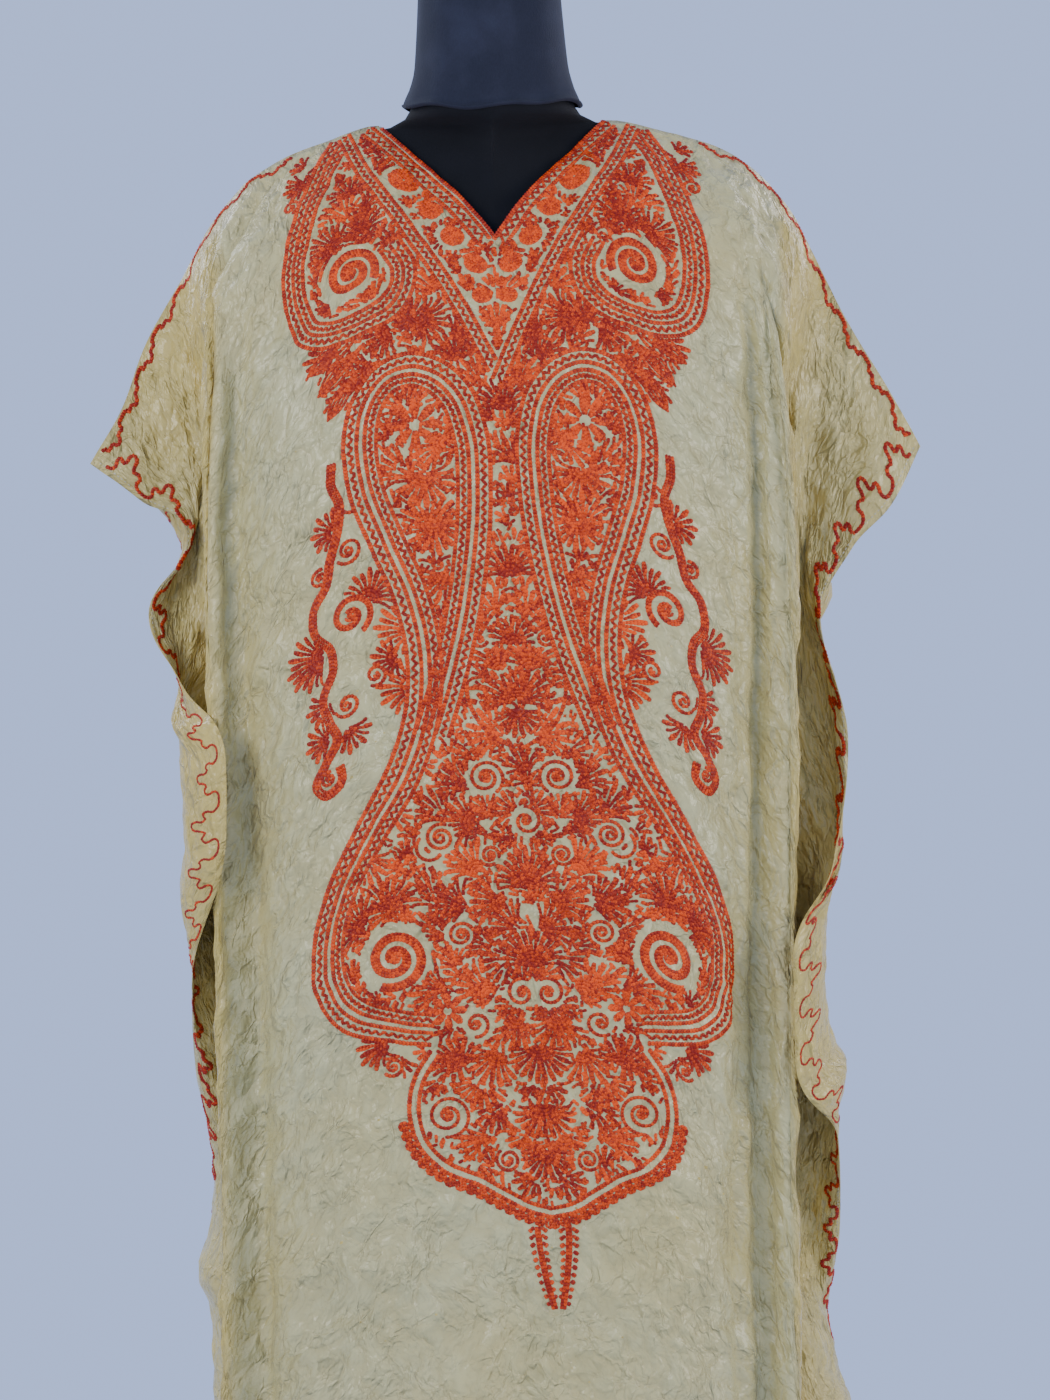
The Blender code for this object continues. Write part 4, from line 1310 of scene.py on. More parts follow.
@dataclass
class Stitchery:
    """Chain stitches laid in a panel's flat cut. Later rows keep off earlier ones and off bare slits."""

    reach: float = 0.50
    length: float = 1.34
    cell: float = 0.0005
    pitch: float = 0.0027
    taken: Grid = field(init=False)
    bare: Grid = field(init=False)
    laid: list[Grid] = field(default_factory=list)
    waiting: list[Grid] = field(default_factory=list)

    def __post_init__(self) -> None:
        """Starts with nothing taken and nothing kept bare."""
        shape = (int(2 * self.reach / self.cell), int(self.length / self.cell))
        self.taken = np.zeros(shape, bool)
        self.bare = np.zeros(shape, bool)

    def cells(self, points: Grid) -> tuple[Grid, Grid]:
        """The cells that points fall in."""
        column = ((points[:, 0] + self.reach) / self.cell).astype(int)
        row = (points[:, 1] / self.cell).astype(int)
        return np.clip(column, 0, self.taken.shape[0] - 1), np.clip(row, 0, self.taken.shape[1] - 1)

    def lay(
        self,
        line: Grid,
        width: float = 0.0036,
        width_end: float | None = None,
        tone: float = 0.5,
        pitch: float | None = None,
    ) -> None:
        """Stitches along a line where nothing is yet.

        Args:
            line: Points of the flat cut.
            width: The stitches' width where the line starts.
            width_end: Their width where it ends.
            tone: How bright the thread is, from 0 to 1.
            pitch: The stitches' length.
        """
        points = evenly(line, pitch or self.pitch)
        starts, ends = points[:-1], points[1:]
        middles = (starts + ends) / 2
        widths = np.linspace(width, width if width_end is None else width_end, len(starts))
        ahead = ends - starts
        aside = np.column_stack([-ahead[:, 1], ahead[:, 0]])
        aside *= (widths * 0.22 / np.maximum(np.linalg.norm(ahead, axis=1), 1e-9))[:, None]
        free = ~self.taken[self.cells(middles)]
        for probe in (middles, middles + aside, middles - aside, starts * 0.2 + ends * 0.8):
            free &= ~self.bare[self.cells(probe)]
        free &= (np.abs(middles[:, 0]) < HALF_WIDTH) & (middles[:, 1] > 0.001) & (middles[:, 1] < LENGTH)
        lonely = ~(np.append(free[1:], False) | np.insert(free[:-1], 0, False))
        free &= ~lonely | (len(free) < 3)
        rows = np.column_stack([starts, ends, widths, np.full(len(starts), tone)])[free]
        if len(rows):
            self.waiting.append(rows)

    def settle(self, room: float = 0.0) -> None:
        """Takes the places of the lines laid since the last time, with some room round them."""
        if not self.waiting:
            return
        rows = np.concatenate(self.waiting)
        self.laid.append(rows)
        self.waiting = []
        places = np.concatenate([rows[:, :2], (rows[:, :2] + rows[:, 2:4]) / 2])
        self.mark(self.taken, places, rows[:, 4].mean() * 0.36 + room)

    def keep_bare(self, points: Grid, radius: float) -> None:
        """Leaves the cloth bare within a radius of points."""
        self.mark(self.bare, points, radius)

    def mark(self, table: Grid, points: Grid, radius: float) -> None:
        """Marks all cells of a table within a radius of points."""
        reach = int(math.ceil(radius / self.cell))
        i, j = np.meshgrid(np.arange(-reach, reach + 1), np.arange(-reach, reach + 1), indexing="ij")
        near = i**2 + j**2 <= (radius / self.cell) ** 2
        column, row = self.cells(points)
        columns = np.clip(column[:, None] + i[near][None], 0, table.shape[0] - 1)
        rows = np.clip(row[:, None] + j[near][None], 0, table.shape[1] - 1)
        table[columns, rows] = True

    def free_share(self, point: Grid, radius: float) -> float:
        """How much of a square round a point is still free."""
        reach = int(radius / self.cell)
        column, row = self.cells(point[None])
        c, r = int(column[0]), int(row[0])
        patch = np.s_[max(c - reach, 0) : c + reach + 1, max(r - reach, 0) : r + reach + 1]
        return 1.0 - float((self.taken[patch] | self.bare[patch]).mean())


@dataclass
class Design:
    """The front's embroidery: paisleys, bands of zigzag, spirals, fans and flowers in the flat cut."""

    stitches: Stitchery
    half: int = 1
    fill_width: float = 0.0031
    fill_apart: float = 0.0023
    row_apart: float = 0.0022
    leaf: float = 0.0057
    curl: float = 0.55
    tip_room: float = 0.0018
    slit: float = 0.0005
    bare_line: float = 0.0009
    motif_sizes: tuple[float, ...] = (0.0290, 0.0220, 0.0160, 0.0120, 0.0085)
    free_enough: float = 0.62
    coil_every: int = 6
    pieces: int = 3

    def placed(self, line: Any) -> Grid:
        """Takes a line of the half design to the flat cut, on the half that is being made."""
        line = np.asarray(line, float)
        lean = np.interp(line[:, 1], *np.array(LEAN).T)
        return np.column_stack([line[:, 0] * self.half + lean, line[:, 1]])

    def polar(self, spot: Spot, reach: Any, way: Any) -> Grid:
        """Places at distances and ways, in radians, from a motif's foot."""
        return np.column_stack([spot.out + reach * np.cos(way), spot.down + reach * np.sin(way)])

    def oval(self, spot: Spot, wide: float, tall: float, around: Grid) -> Grid:
        """Places round an oval that lies the way its spot points."""
        x, y = wide * np.cos(around), tall * np.sin(around)
        cos, sin = math.cos(spot.turn), math.sin(spot.turn)
        return np.column_stack([x * cos - y * sin, x * sin + y * cos]) + (spot.out, spot.down)

    def sew(self, line: Any, **kind: Any) -> None:
        """Stitches along a line of the half design."""
        self.stitches.lay(self.placed(line), **kind)

    def clear(self, points: Any, radius: float) -> None:
        """Leaves the cloth bare round points of the half design."""
        self.stitches.keep_bare(self.placed(points), radius)

    def line(self, marks: Any, rows: int = 1, **kind: Any) -> None:
        """A smooth line of one or more rows side by side."""
        middle = smooth_line(marks)
        for order in range(rows):
            drawn = beside(middle, (order - (rows - 1) / 2) * self.fill_apart)
            self.sew(drawn, **kind)
        self.stitches.settle()

    def band(self, marks: Any, rows: Sequence[BandRow], inner: int = 1) -> None:
        """A band of lines and zigzags beside a smooth line, bare between them."""
        line = smooth_line(marks)
        lengths = lengths_along(line)
        for row in rows:
            if row.kind is Row.ZIGZAG:
                corners = np.arange(0.0, lengths[-1], row.repeat / 2)
                waves = np.where(np.arange(len(corners)) % 2, row.wave, -row.wave)
                at = np.interp(lengths, corners, waves)
                drawn = beside(line, (row.inwards + at) * inner)
                self.sew(drawn, width=row.width, pitch=row.repeat * 0.36, tone=0.30)
            elif row.kind is Row.LINE:
                drawn = beside(line, row.inwards * inner)
                self.sew(drawn, width=row.width, tone=0.5)
        self.stitches.settle()
        last = rows[-1].inwards + rows[-1].width * 0.2
        for inwards in np.arange(rows[0].inwards, last, 0.0011):
            strip = evenly(beside(line, inwards * inner), 0.001)
            self.clear(strip, self.bare_line)

    def coil(self, spot: Spot, turns: float = 1.9, rows: int = 1, ring: float = 0.0030) -> None:
        """A coil that ends in a round head, with a bare crescent round it.

        Args:
            spot: Its middle, outer size and the way its tail points.
            turns: How often it goes round.
            rows: How many rows of thread it is wide.
            ring: The crescent's mean width, 0 for none.
        """
        step = spot.size / (turns + 0.45)
        turn = np.linspace(0, turns * 2 * math.pi, int(turns * 60))
        radius = spot.size - step * turn / (2 * math.pi)
        way = spot.turn + turn
        for order in range(rows):
            drawn = self.polar(spot, np.maximum(radius - order * self.row_apart, 0.001), way)
            self.sew(drawn, width=0.0034, tone=0.40 + 0.12 * order)
        self.stitches.settle()
        self.blob(Spot(spot.out, spot.down, min(0.0048, spot.size * 0.34)))
        if ring:
            middle = self.polar(spot, -0.6 * ring, np.array([spot.turn]))
            self.clear(middle, spot.size + ring)

    def blob(self, spot: Spot, oval: float = 1.0, tone: float = 0.6) -> None:
        """A round or oval spot filled from its rim to its middle."""
        radius = spot.size - 0.0012
        while radius > 0.0004:
            ring = self.oval(spot, radius * oval, radius / oval, np.linspace(0, 2 * math.pi, 40))
            self.sew(ring, width=self.fill_width, tone=tone, pitch=min(self.stitches.pitch, radius * 1.7))
            radius -= self.row_apart
        self.stitches.settle()

    def medallion(self, spot: Spot) -> None:
        """An oval spot in a bare ring that is open at one end."""
        self.blob(spot._replace(size=spot.size * 0.78), oval=1.14, tone=0.7)
        around = np.linspace(-0.15 * math.pi, 1.35 * math.pi, 160)
        self.clear(self.oval(spot, spot.size * 1.13, spot.size * 0.90, around), self.bare_line)

    def fan(self, spot: Spot, spread: float = 150.0, tone: float = 0.5, bare: bool = True) -> None:
        """Leaves that open from one point, dark at their rims, with slits between them.

        Args:
            spot: Their foot, their size and the way they point.
            spread: How far they open, in degrees.
            tone: How bright their thread is.
            bare: Whether a thin bare slit follows their tips.
        """
        opened = math.radians(spread)
        leaves = max(round(opened * spot.size / self.leaf), 3)
        half = opened / leaves / 2

        def tip(share: Any) -> Any:
            """How far the leaf at a share of the spread reaches."""
            return spot.size * (1.0 - 1.15 * share**2)

        for order in sorted(range(leaves), key=lambda each: abs(each - (leaves - 1) / 2)):
            share = (order + 0.5) / leaves - 0.5
            reach = tip(share) * (1.0 if order % 2 else 0.90)
            for side in (-1.0, 1.0):
                t = np.linspace(0.04, 1.0, 18)
                aside = np.clip(t * reach * half - 0.0013, 0.0, 0.0012) * np.sin(t**3 * math.pi * 0.8 + 0.4)
                way = spot.turn + opened * share + side * aside / (t * reach) + self.curl * share * t**2
                shade = tone + 0.24 * (order % 2) + 0.10 * side - 0.10
                self.sew(self.polar(spot, reach * t, way), width=self.fill_width, tone=shade)
                self.stitches.settle(-0.0005)
        for order in range(leaves + 1):
            share = order / leaves - 0.5
            t = np.linspace(0.70, 1.04, 16)
            way = spot.turn + opened * share + self.curl * share * t**2
            self.clear(self.polar(spot, tip(share) * t, way), self.slit * 0.5)
        if bare:
            share = np.linspace(-0.5, 0.5, 120)
            way = spot.turn + opened * share + self.curl * share
            self.clear(self.polar(spot, tip(share) + self.tip_room, way), self.slit * 0.6)

    def flower(self, spot: Spot, petals: int = 8) -> None:
        """Full petals round a bare eye, with slits between them."""
        self.clear([[spot.out, spot.down]], spot.size * 0.16)
        half = math.pi / petals
        for order in range(petals):
            way = 2 * half * order
            for side in (0.0, -0.5, 0.5):
                t = np.linspace(0.22, 1.0 - 0.20 * abs(side), 16)
                turn = way + side * half * np.sin(t * math.pi) ** 0.5
                petal = self.polar(spot, spot.size * t, turn)
                self.sew(petal, width=0.0026, width_end=0.0036, tone=0.75 - abs(side) * 0.4)
                self.stitches.settle(-0.0005)
            slit = self.polar(spot, spot.size * np.linspace(0.65, 1.08, 12), way + half)
            self.clear(slit, self.slit)

    def fill(self) -> None:
        """Fans and curls in what is still free, then rows that follow a slow wave in the rest."""
        draws = Scatter(5).field((4000, 4), 0, 1)
        self.fill_motifs(draws)
        self.fill_rows(draws)

    def fill_motifs(self, draws: Grid) -> None:
        """Fans and curls, large ones first, wherever enough is still free."""
        number = 0
        for size in self.motif_sizes:
            step = size * 0.95
            for index, down in enumerate(np.arange(0.012, 0.885, step * 0.8)):
                for out in np.arange(step * 0.25 * (1 + index % 2), self.half_width(down), step):
                    jitter = draws[number]
                    number += 1
                    aside, below = (jitter[0] - 0.5) * step * 0.4, (jitter[1] - 0.5) * step * 0.3
                    place = np.array([out + aside, down + below])
                    if not self.inside(place):
                        continue
                    way = (60 if down > 0.72 else -60) + (jitter[2] - 0.5) * 130
                    turn = math.radians(way)
                    middle = place + size * 0.5 * np.array([math.cos(turn), math.sin(turn)])
                    free = self.stitches.free_share(self.placed(middle[None])[0], size * 0.36)
                    if free < self.free_enough:
                        continue
                    if number % self.coil_every == 0:
                        self.coil(Spot(*place, size * 0.40, way), turns=1.3, rows=1, ring=0.0004)
                    else:
                        self.fan(Spot(*place, size, way), spread=125, tone=0.15 + 0.7 * jitter[3])

    def fill_rows(self, draws: Grid) -> None:
        """Rows of stitches that sway on their way down, wherever nothing is yet."""
        down = np.arange(0.003, 0.896, 0.0008)
        for order, out in enumerate(np.arange(-0.020, 0.175, self.fill_apart)):
            sway = out + 0.008 * np.sin(down * 42 + 1.0) + 0.004 * np.sin(down * 97)
            column = np.column_stack([sway, down])
            kept = self.inside_many(column)
            for run in np.split(column, np.nonzero(np.diff(kept.astype(int)))[0] + 1):
                if len(run) > 6 and self.inside(run[len(run) // 2]):
                    tone = 0.30 + 0.35 * draws[order, 0]
                    self.sew(run, width=self.fill_width, tone=tone)
            self.stitches.settle(-0.0003)

    def half_width(self, down: Any) -> Any:
        """How wide the half design is under its outer lines."""
        return np.interp(down, *np.array(FILLED).T)

    def inside(self, place: Grid) -> bool:
        """Whether a place lies under the design's outer lines."""
        return bool(self.inside_many(np.asarray(place)[None])[0])

    def inside_many(self, places: Grid) -> Grid:
        """Which places lie under the design's outer lines and off the neck."""
        out, down = places.T
        neck = 0.016 + V_DEPTH * np.clip(1 - np.abs(out) / NECK_HALF, 0, 1)
        return (out > -0.001) & (out < self.half_width(down)) & (down > neck)

    def spikes(self) -> None:
        """Pointed leaves that stand out under the top paisleys, with slits between them."""
        for spot in SPIKES:
            t = np.linspace(0, 1, 24)
            for open_by in (0.0, -0.09, 0.09, -0.18, 0.18):
                way = spot.turn + open_by * np.sin(t * math.pi) * 1.6
                leaf = self.polar(spot, spot.size * t, way)
                self.sew(leaf, width=0.0036, width_end=0.0022, tone=0.45)
                self.stitches.settle(-0.0004)
            slit = self.polar(spot, spot.size * np.linspace(0.35, 1.0, 20), math.radians(spot.way + 12))
            self.clear(slit, self.slit)

    def scallops(self) -> None:
        """Round beads along the lower rim."""
        line = evenly(beside(smooth_line(LOW_PAISLEY), -0.0052), 0.0082)
        for bead in line[len(line) // 3 :]:
            self.blob(Spot(*bead, 0.0046), tone=0.45)

    def stem(self) -> None:
        """The two leafy rows that the design ends in."""
        line = smooth_line(STEM)
        self.line(STEM, rows=2, width=0.0034, tone=0.4)
        for foot in evenly(line, 0.0060)[:-1]:
            size = 0.0088 * (1.0 - (foot[1] - STEM[0][1]) / 0.16)
            for way in (38, 142):
                leaf = self.polar(Spot(*foot, size), size * np.linspace(0.1, 1, 8), math.radians(way))
                self.sew(leaf, width=0.0028, width_end=0.0042, tone=0.4)
        self.stitches.settle()

    def draw(self) -> None:
        """Lays the whole design, lines first, each step on both halves."""
        for step in (self.neck, self.outlines, self.motifs, self.fill):
            for self.half in (1, -1):
                step()
        log.info("design: %d stitches", sum(len(rows) for rows in self.stitches.laid))

    def neck(self) -> None:
        """The bands along the neck."""
        self.band(NECK_EDGE, NECK_BAND, inner=-1)

    def outlines(self) -> None:
        """The bands of the yoke and the paisleys, and all that runs along a line."""
        self.band(YOKE_LINE, YOKE_BAND)
        self.band(LONG_PAISLEY, PAISLEY_BAND)
        self.band(TOP_PAISLEY, WIDE_BAND)
        self.band(LOW_PAISLEY, THIN_BAND)
        self.line(HEART, width=0.0042)
        self.line(SPRAY, rows=3, width=0.0034, tone=0.4)
        self.spikes()
        self.scallops()
        self.stem()

    def motifs(self) -> None:
        """The spirals, medallions, flowers and fans that have a place of their own."""
        for spot in SPIRALS:
            large = spot.size > 0.02
            self.coil(spot, rows=3 if large else 1, ring=0.0020 if large else 0.0004)
        for spot in MEDALLIONS:
            self.medallion(spot)
        for spot in SIDE_SPIRALS:
            self.coil(spot, turns=1.5, rows=2 if spot.size > 0.015 else 1, ring=0.0)
        for spot in FLOWERS:
            self.flower(spot)
        for spot in PALMETTES:
            self.fan(spot, spread=200, tone=0.6)
        for spot in INNER_FANS:
            self.fan(spot, tone=0.3)
        for spot in SIDE_FANS:
            self.fan(spot, tone=0.3, bare=False)

    def build(self, cloth: ClothPanel, thread: bpy.types.Material) -> None:
        """Draws the design and makes it on a panel, in a few pieces of one size."""
        self.draw()
        rows = np.concatenate(self.stitches.laid)
        middle = rows[np.abs(rows[:, 0]) < 0.3]
        for part, chosen in enumerate(np.array_split(middle, self.pieces)):
            Threadwork(cloth, thread).build(f"embroidery_{part + 1}", chosen)


# A stitch's faces by its points' numbers, and the painted shade and highlight of each of its points against
# its thread: darker at its feet on the cloth, brighter on its raised top
STITCH_CORNERS = (
    (0, 2, 3), (0, 3, 4), (0, 4, 1), (1, 4, 5), (1, 5, 6), (2, 7, 3), (3, 7, 8), (3, 8, 4),
    (4, 8, 5), (5, 8, 9), (5, 9, 6), (7, 9, 8),
)
STITCH_PAINTED_SHADE = (-0.30, -0.30, -0.45, 0.15, -0.20, 0.15, -0.45, -0.35, 0.10, -0.35)


@dataclass
class Threadwork:
    """Turns laid stitches into raised loops of thread on a panel's shell."""

    cloth: ClothPanel
    material: bpy.types.Material
    height: float = 0.0010
    overlap: float = 0.30
    inside: bool = False

    def build(self, name: str, rows: Grid) -> bpy.types.Object:
        """Makes one mesh of all the stitches.

        Args:
            name: The piece's name.
            rows: One row for each stitch: its start, its end, its width and its tone.

        Returns:
            The piece.
        """
        scatter = Scatter(len(rows))
        count = len(rows)
        starts, ends = rows[:, :2], rows[:, 2:4]
        ends = ends + (ends - starts) * self.overlap
        middles = starts * 0.45 + ends * 0.55
        shell = self.cloth.thickness / 2
        (first, up), (last, over), (middle, lift) = (
            self.cloth.locate(places[:, 0], places[:, 1]) for places in (starts, ends, middles)
        )
        if self.inside:
            up, over, lift = -up, -over, -lift
        ahead = last - first
        aside = np.cross(lift, ahead)
        aside /= np.maximum(np.linalg.norm(aside, axis=1, keepdims=True), 1e-9)
        wide = aside * (rows[:, 4] * scatter.field((count, 1), 0.92, 1.08)[:, 0])[:, None]
        rise = self.height * scatter.field((count, 1), 0.85, 1.15)
        floor = shell - 0.0002
        shape = np.stack(
            [
                first + wide * 0.30 + up * shell,
                first - wide * 0.30 + up * shell,
                middle + wide * 0.50 + lift * floor,
                middle + wide * 0.28 + lift * (shell + rise),
                middle + lift * (shell + rise * 0.55),
                middle - wide * 0.28 + lift * (shell + rise),
                middle - wide * 0.50 + lift * floor,
                last + wide * 0.32 + over * (shell + rise * 0.1),
                last + over * (shell + rise * 0.75),
                last - wide * 0.32 + over * (shell + rise * 0.1),
            ],
            axis=1,
        )
        faces = (np.arange(count)[:, None, None] * 10 + np.array(STITCH_CORNERS)[None]).reshape(-1, 3)
        if self.cloth.panel is Panel.FRONT:
            faces = faces[:, ::-1]
        thing = grid_mesh(name, shape.reshape(-1, 3), faces, self.material)
        # Each stitch's own thread tone, plus the painted shade and highlight of its points
        own = rows[:, 5] + scatter.field((count, 1), -0.3, 0.3)[:, 0]
        carry(thing.data, "tone", np.clip(own[:, None] + np.array(STITCH_PAINTED_SHADE)[None], 0, 1))
        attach(thing, "root")
        log.info("%s: %d stitches, %d faces", name, count, len(thing.data.polygons))
        return thing


# One repeat of the scroll on the free edges: along it and in from the edge, as shares
SCROLL = (
    (0.00, 0.00), (0.12, 0.02), (0.20, 0.18), (0.16, 0.42), (0.22, 0.56), (0.32, 0.46),
    (0.37, 0.56), (0.38, 0.82), (0.47, 1.00), (0.56, 0.92), (0.57, 0.66), (0.62, 0.46),
    (0.72, 0.56), (0.82, 0.42), (0.78, 0.18), (0.88, 0.02), (1.00, 0.00),
)


@dataclass
class EdgeScroll:
    """The looping line on the free edges of a panel."""

    stitches: Stitchery
    repeat: float = 0.037

    def along(
        self, start: Any, end: Any, inwards: Any, depth: float = 0.028, from_edge: float = 0.0065
    ) -> None:
        """Scrolls from one place of the flat cut to another, growing inwards.

        Args:
            start: Where it starts, across and down.
            end: Where it ends.
            inwards: The way from the edge into the cloth, one long.
            depth: How far its loops reach, in metres.
            from_edge: How far it keeps from the edge.
        """
        start, end, inwards = (np.asarray(each, float) for each in (start, end, inwards))
        span = np.linalg.norm(end - start)
        count = int(round(span / self.repeat))
        shares = np.array(SCROLL)
        draws = Scatter(count).field((count, 2), 0.85, 1.15)
        marks = []
        for order in range(count):
            wide = (shares[:-1, 0] + order) / count
            deep = shares[:-1, 1] * depth * draws[order, 0] + from_edge
            marks.append(start + wide[:, None] * (end - start) + deep[:, None] * inwards)
        self.stitches.lay(smooth_line(np.concatenate(marks)), width=0.0038, tone=0.25)
        self.stitches.settle()


@dataclass
class Sewing:
    """Small running stitches in the cloth's own colour, along seams and hems."""

    stitches: Stitchery
    step: float = 0.0036
    shown: float = 0.6
    width: float = 0.0011
    hem: float = 0.0055
    hem_ends: float = 0.006
    seam_apart: float = 0.006
    seam_ends: float = 0.004
    lower_hem: float = 0.0160
    neck_hem: float = 0.0060

    def run(self, line: Any) -> None:
        """Runs along a line, one stitch in and one stitch out."""
        points = evenly(np.asarray(line, float), self.step)
        starts, ends = points[:-1], points[1:]
        ends = starts + (ends - starts) * self.shown
        count = len(starts)
        rows = np.column_stack([starts, ends, np.full(count, self.width), np.full(count, 0.5)])
        self.stitches.laid.append(rows)

    def panel(self, panel: Panel) -> None:
        """Sews the side seams, the free edges' narrow hems and the lower hem of one panel."""
        inside = HALF_WIDTH - self.hem
        lines = (
            (SEAM_AT, UNDERARM, self.seam_ends),
            (SEAM_AT - self.seam_apart, UNDERARM, self.seam_ends),
            (inside, self.hem_ends, self.hem_ends),
        )
        for way in (-1, 1):
            for out, top, above_hem in lines:
                self.run([(way * out, top), (way * out, LENGTH - above_hem)])
        self.run([(-inside, LENGTH - self.lower_hem), (inside, LENGTH - self.lower_hem)])
        across = np.linspace(-NECK_HALF, NECK_HALF, 120)
        self.run(np.column_stack([across, Drape(panel).neck_cut(across) + self.neck_hem]))


@dataclass
class Trim:
    """The scroll borders, the bound neck edge and the sewing of one panel."""

    cloth: ClothPanel
    thread: bpy.types.Material
    cotton: bpy.types.Material
    ends: float = 0.012
    shoulder: tuple[float, float] = (0.165, 0.470)
    hem_half: float = 0.46
    neck_hem: float = 0.0018
    reverse_beyond: float = 0.40
    reverse_below: float = 0.02
    reverse_width: float = 0.6

    def scrolls(self) -> Grid:
        """Lays the scrolls on the free edges and the line round the neck, and hands over the stitches."""
        border = Stitchery()
        scroll = EdgeScroll(border)
        near, far = self.shoulder
        for way in (-1, 1):
            side = way * HALF_WIDTH
            scroll.along((side, self.ends), (side, LENGTH - self.ends), (-way, 0))
            scroll.along((way * near, 0.0), (way * far, 0.0), (0, 1), depth=0.0085, from_edge=0.003)
        scroll.along((-self.hem_half, LENGTH), (self.hem_half, LENGTH), (0, -1))
        across = np.linspace(-NECK_HALF, NECK_HALF, 160)
        edge = Drape(self.cloth.panel).neck_cut(across) + self.neck_hem
        border.lay(np.column_stack([across, edge]), width=0.0038, tone=0.35)
        border.settle()
        return np.concatenate(border.laid)

    def build(self) -> None:
        """Makes the scrolls, their reverse on the inside and the sewing."""
        name = self.cloth.panel.name.lower()
        scrolls = self.scrolls()
        Threadwork(self.cloth, self.thread).build(f"{name}_scroll", scrolls)
        beyond = np.abs(scrolls[:, 0]) > self.reverse_beyond
        reverse = scrolls[beyond & (scrolls[:, 1] > self.reverse_below)]
        reverse[:, 4] *= self.reverse_width
        behind = Threadwork(self.cloth, self.thread, height=0.0006, inside=True)
        behind.build(f"{name}_scroll_reverse", reverse)
        sewing = Sewing(Stitchery())
        sewing.panel(self.cloth.panel)
        fine = Threadwork(self.cloth, self.cotton, height=0.0003, overlap=0.0)
        fine.build(f"{name}_sewing", np.concatenate(sewing.stitches.laid))


class Ring(NamedTuple):
    """A level ring of the form: below the neck point, half width, reach forward and back, squareness."""

    drop: float
    half_width: float
    front: float
    back: float
    corner: float


BODY_RINGS = rows_of(Ring, (
    (0.0110, 0.086, 0.066, 0.034, 0.80), (0.0152, 0.119, 0.066, 0.034, 0.70),
    (0.0225, 0.137, 0.064, 0.036, 0.70), (0.0315, 0.157, 0.064, 0.040, 0.76),
    (0.0445, 0.173, 0.065, 0.046, 0.88), (0.0660, 0.185, 0.072, 0.056, 1.20),
    (0.0980, 0.190, 0.088, 0.066, 1.70), (0.1350, 0.182, 0.102, 0.076, 2.00),
    (0.1900, 0.168, 0.114, 0.082, 2.20), (0.2600, 0.160, 0.122, 0.084, 2.30),
    (0.3400, 0.146, 0.108, 0.078, 2.30), (0.4300, 0.128, 0.092, 0.072, 2.30),
    (0.5300, 0.146, 0.098, 0.080, 2.30), (0.6300, 0.158, 0.102, 0.086, 2.30),
    (0.7300, 0.160, 0.102, 0.086, 2.30),
))
NECK_TOP = -0.135
NECK_RINGS = rows_of(Ring, (
    (NECK_TOP, 0.051, 0.060, 0.032, 2.00), (-0.0700, 0.055, 0.063, 0.034, 2.00),
    (-0.0200, 0.060, 0.067, 0.034, 2.00), (0.0010, 0.067, 0.070, 0.034, 2.00),
))
COVER_HEM = Ring(-0.0060, 0.0645, 0.0690, 0.034, 2.00)

# The turned cap, from the bottom up: shares of its width and its height
CAP_TURNING = (
    (0.985, 0.00), (1.000, 0.04), (1.000, 0.22), (0.985, 0.27), (0.950, 0.30), (0.935, 0.34),
    (0.945, 0.38), (0.950, 0.42), (0.900, 0.54), (0.800, 0.68), (0.660, 0.80), (0.480, 0.90),
    (0.300, 0.96), (0.120, 1.00),
)
# The pole, from the top down: its width in radii, the place it belongs to (1 top, 0.5 clamp, 0 foot)
# and the metres above that place
POLE_TURNING = (
    (0.90, 1.0, 0.0), (1.45, 1.0, -0.0010), (1.55, 1.0, -0.0030), (1.55, 1.0, -0.0180),
    (1.45, 1.0, -0.0200), (1.00, 1.0, -0.0215), (1.00, 0.5, 0.0160), (1.25, 0.5, 0.0150),
    (1.30, 0.5, 0.0130), (1.30, 0.5, -0.0130), (1.25, 0.5, -0.0150), (1.10, 0.5, -0.0160),
    (1.10, 0.0, 0.0300), (1.60, 0.0, 0.0260), (1.90, 0.0, 0.0180), (2.00, 0.0, 0.0030),
    (1.95, 0.0, 0.0010), (1.00, 0.0, 0.0),
)
# The turned base, from the top down: shares of its width and its height
BASE_TURNING = (
    (0.30, 1.00), (0.35, 0.99), (0.37, 0.94), (0.55, 0.85), (0.80, 0.72), (0.91, 0.64),
    (0.945, 0.56), (0.955, 0.48), (0.975, 0.44), (0.992, 0.38), (1.000, 0.30), (1.000, 0.14),
    (0.994, 0.06), (0.980, 0.01), (0.960, 0.00),
)


def lofted(loops: Grid, capped: bool = True) -> bmesh.types.BMesh:
    """Joins loops of points, top first, into a skin that is capped, or runs back to its first loop."""
    skin = bmesh.new()
    made = [[skin.verts.new(point) for point in loop] for loop in loops]

    def join(upper: Sequence[Any], lower: Sequence[Any]) -> None:
        """Adds the ring of faces between two loops."""
        for index in range(len(upper)):
            after = (index + 1) % len(upper)
            skin.faces.new((upper[index], lower[index], lower[after], upper[after]))

    for upper, lower in zip(made, made[1:]):
        join(upper, lower)
    if capped:
        skin.faces.new(made[0])
        skin.faces.new(made[-1][::-1])
    else:
        join(made[-1], made[0])
    bmesh.ops.recalc_face_normals(skin, faces=skin.faces)
    return skin


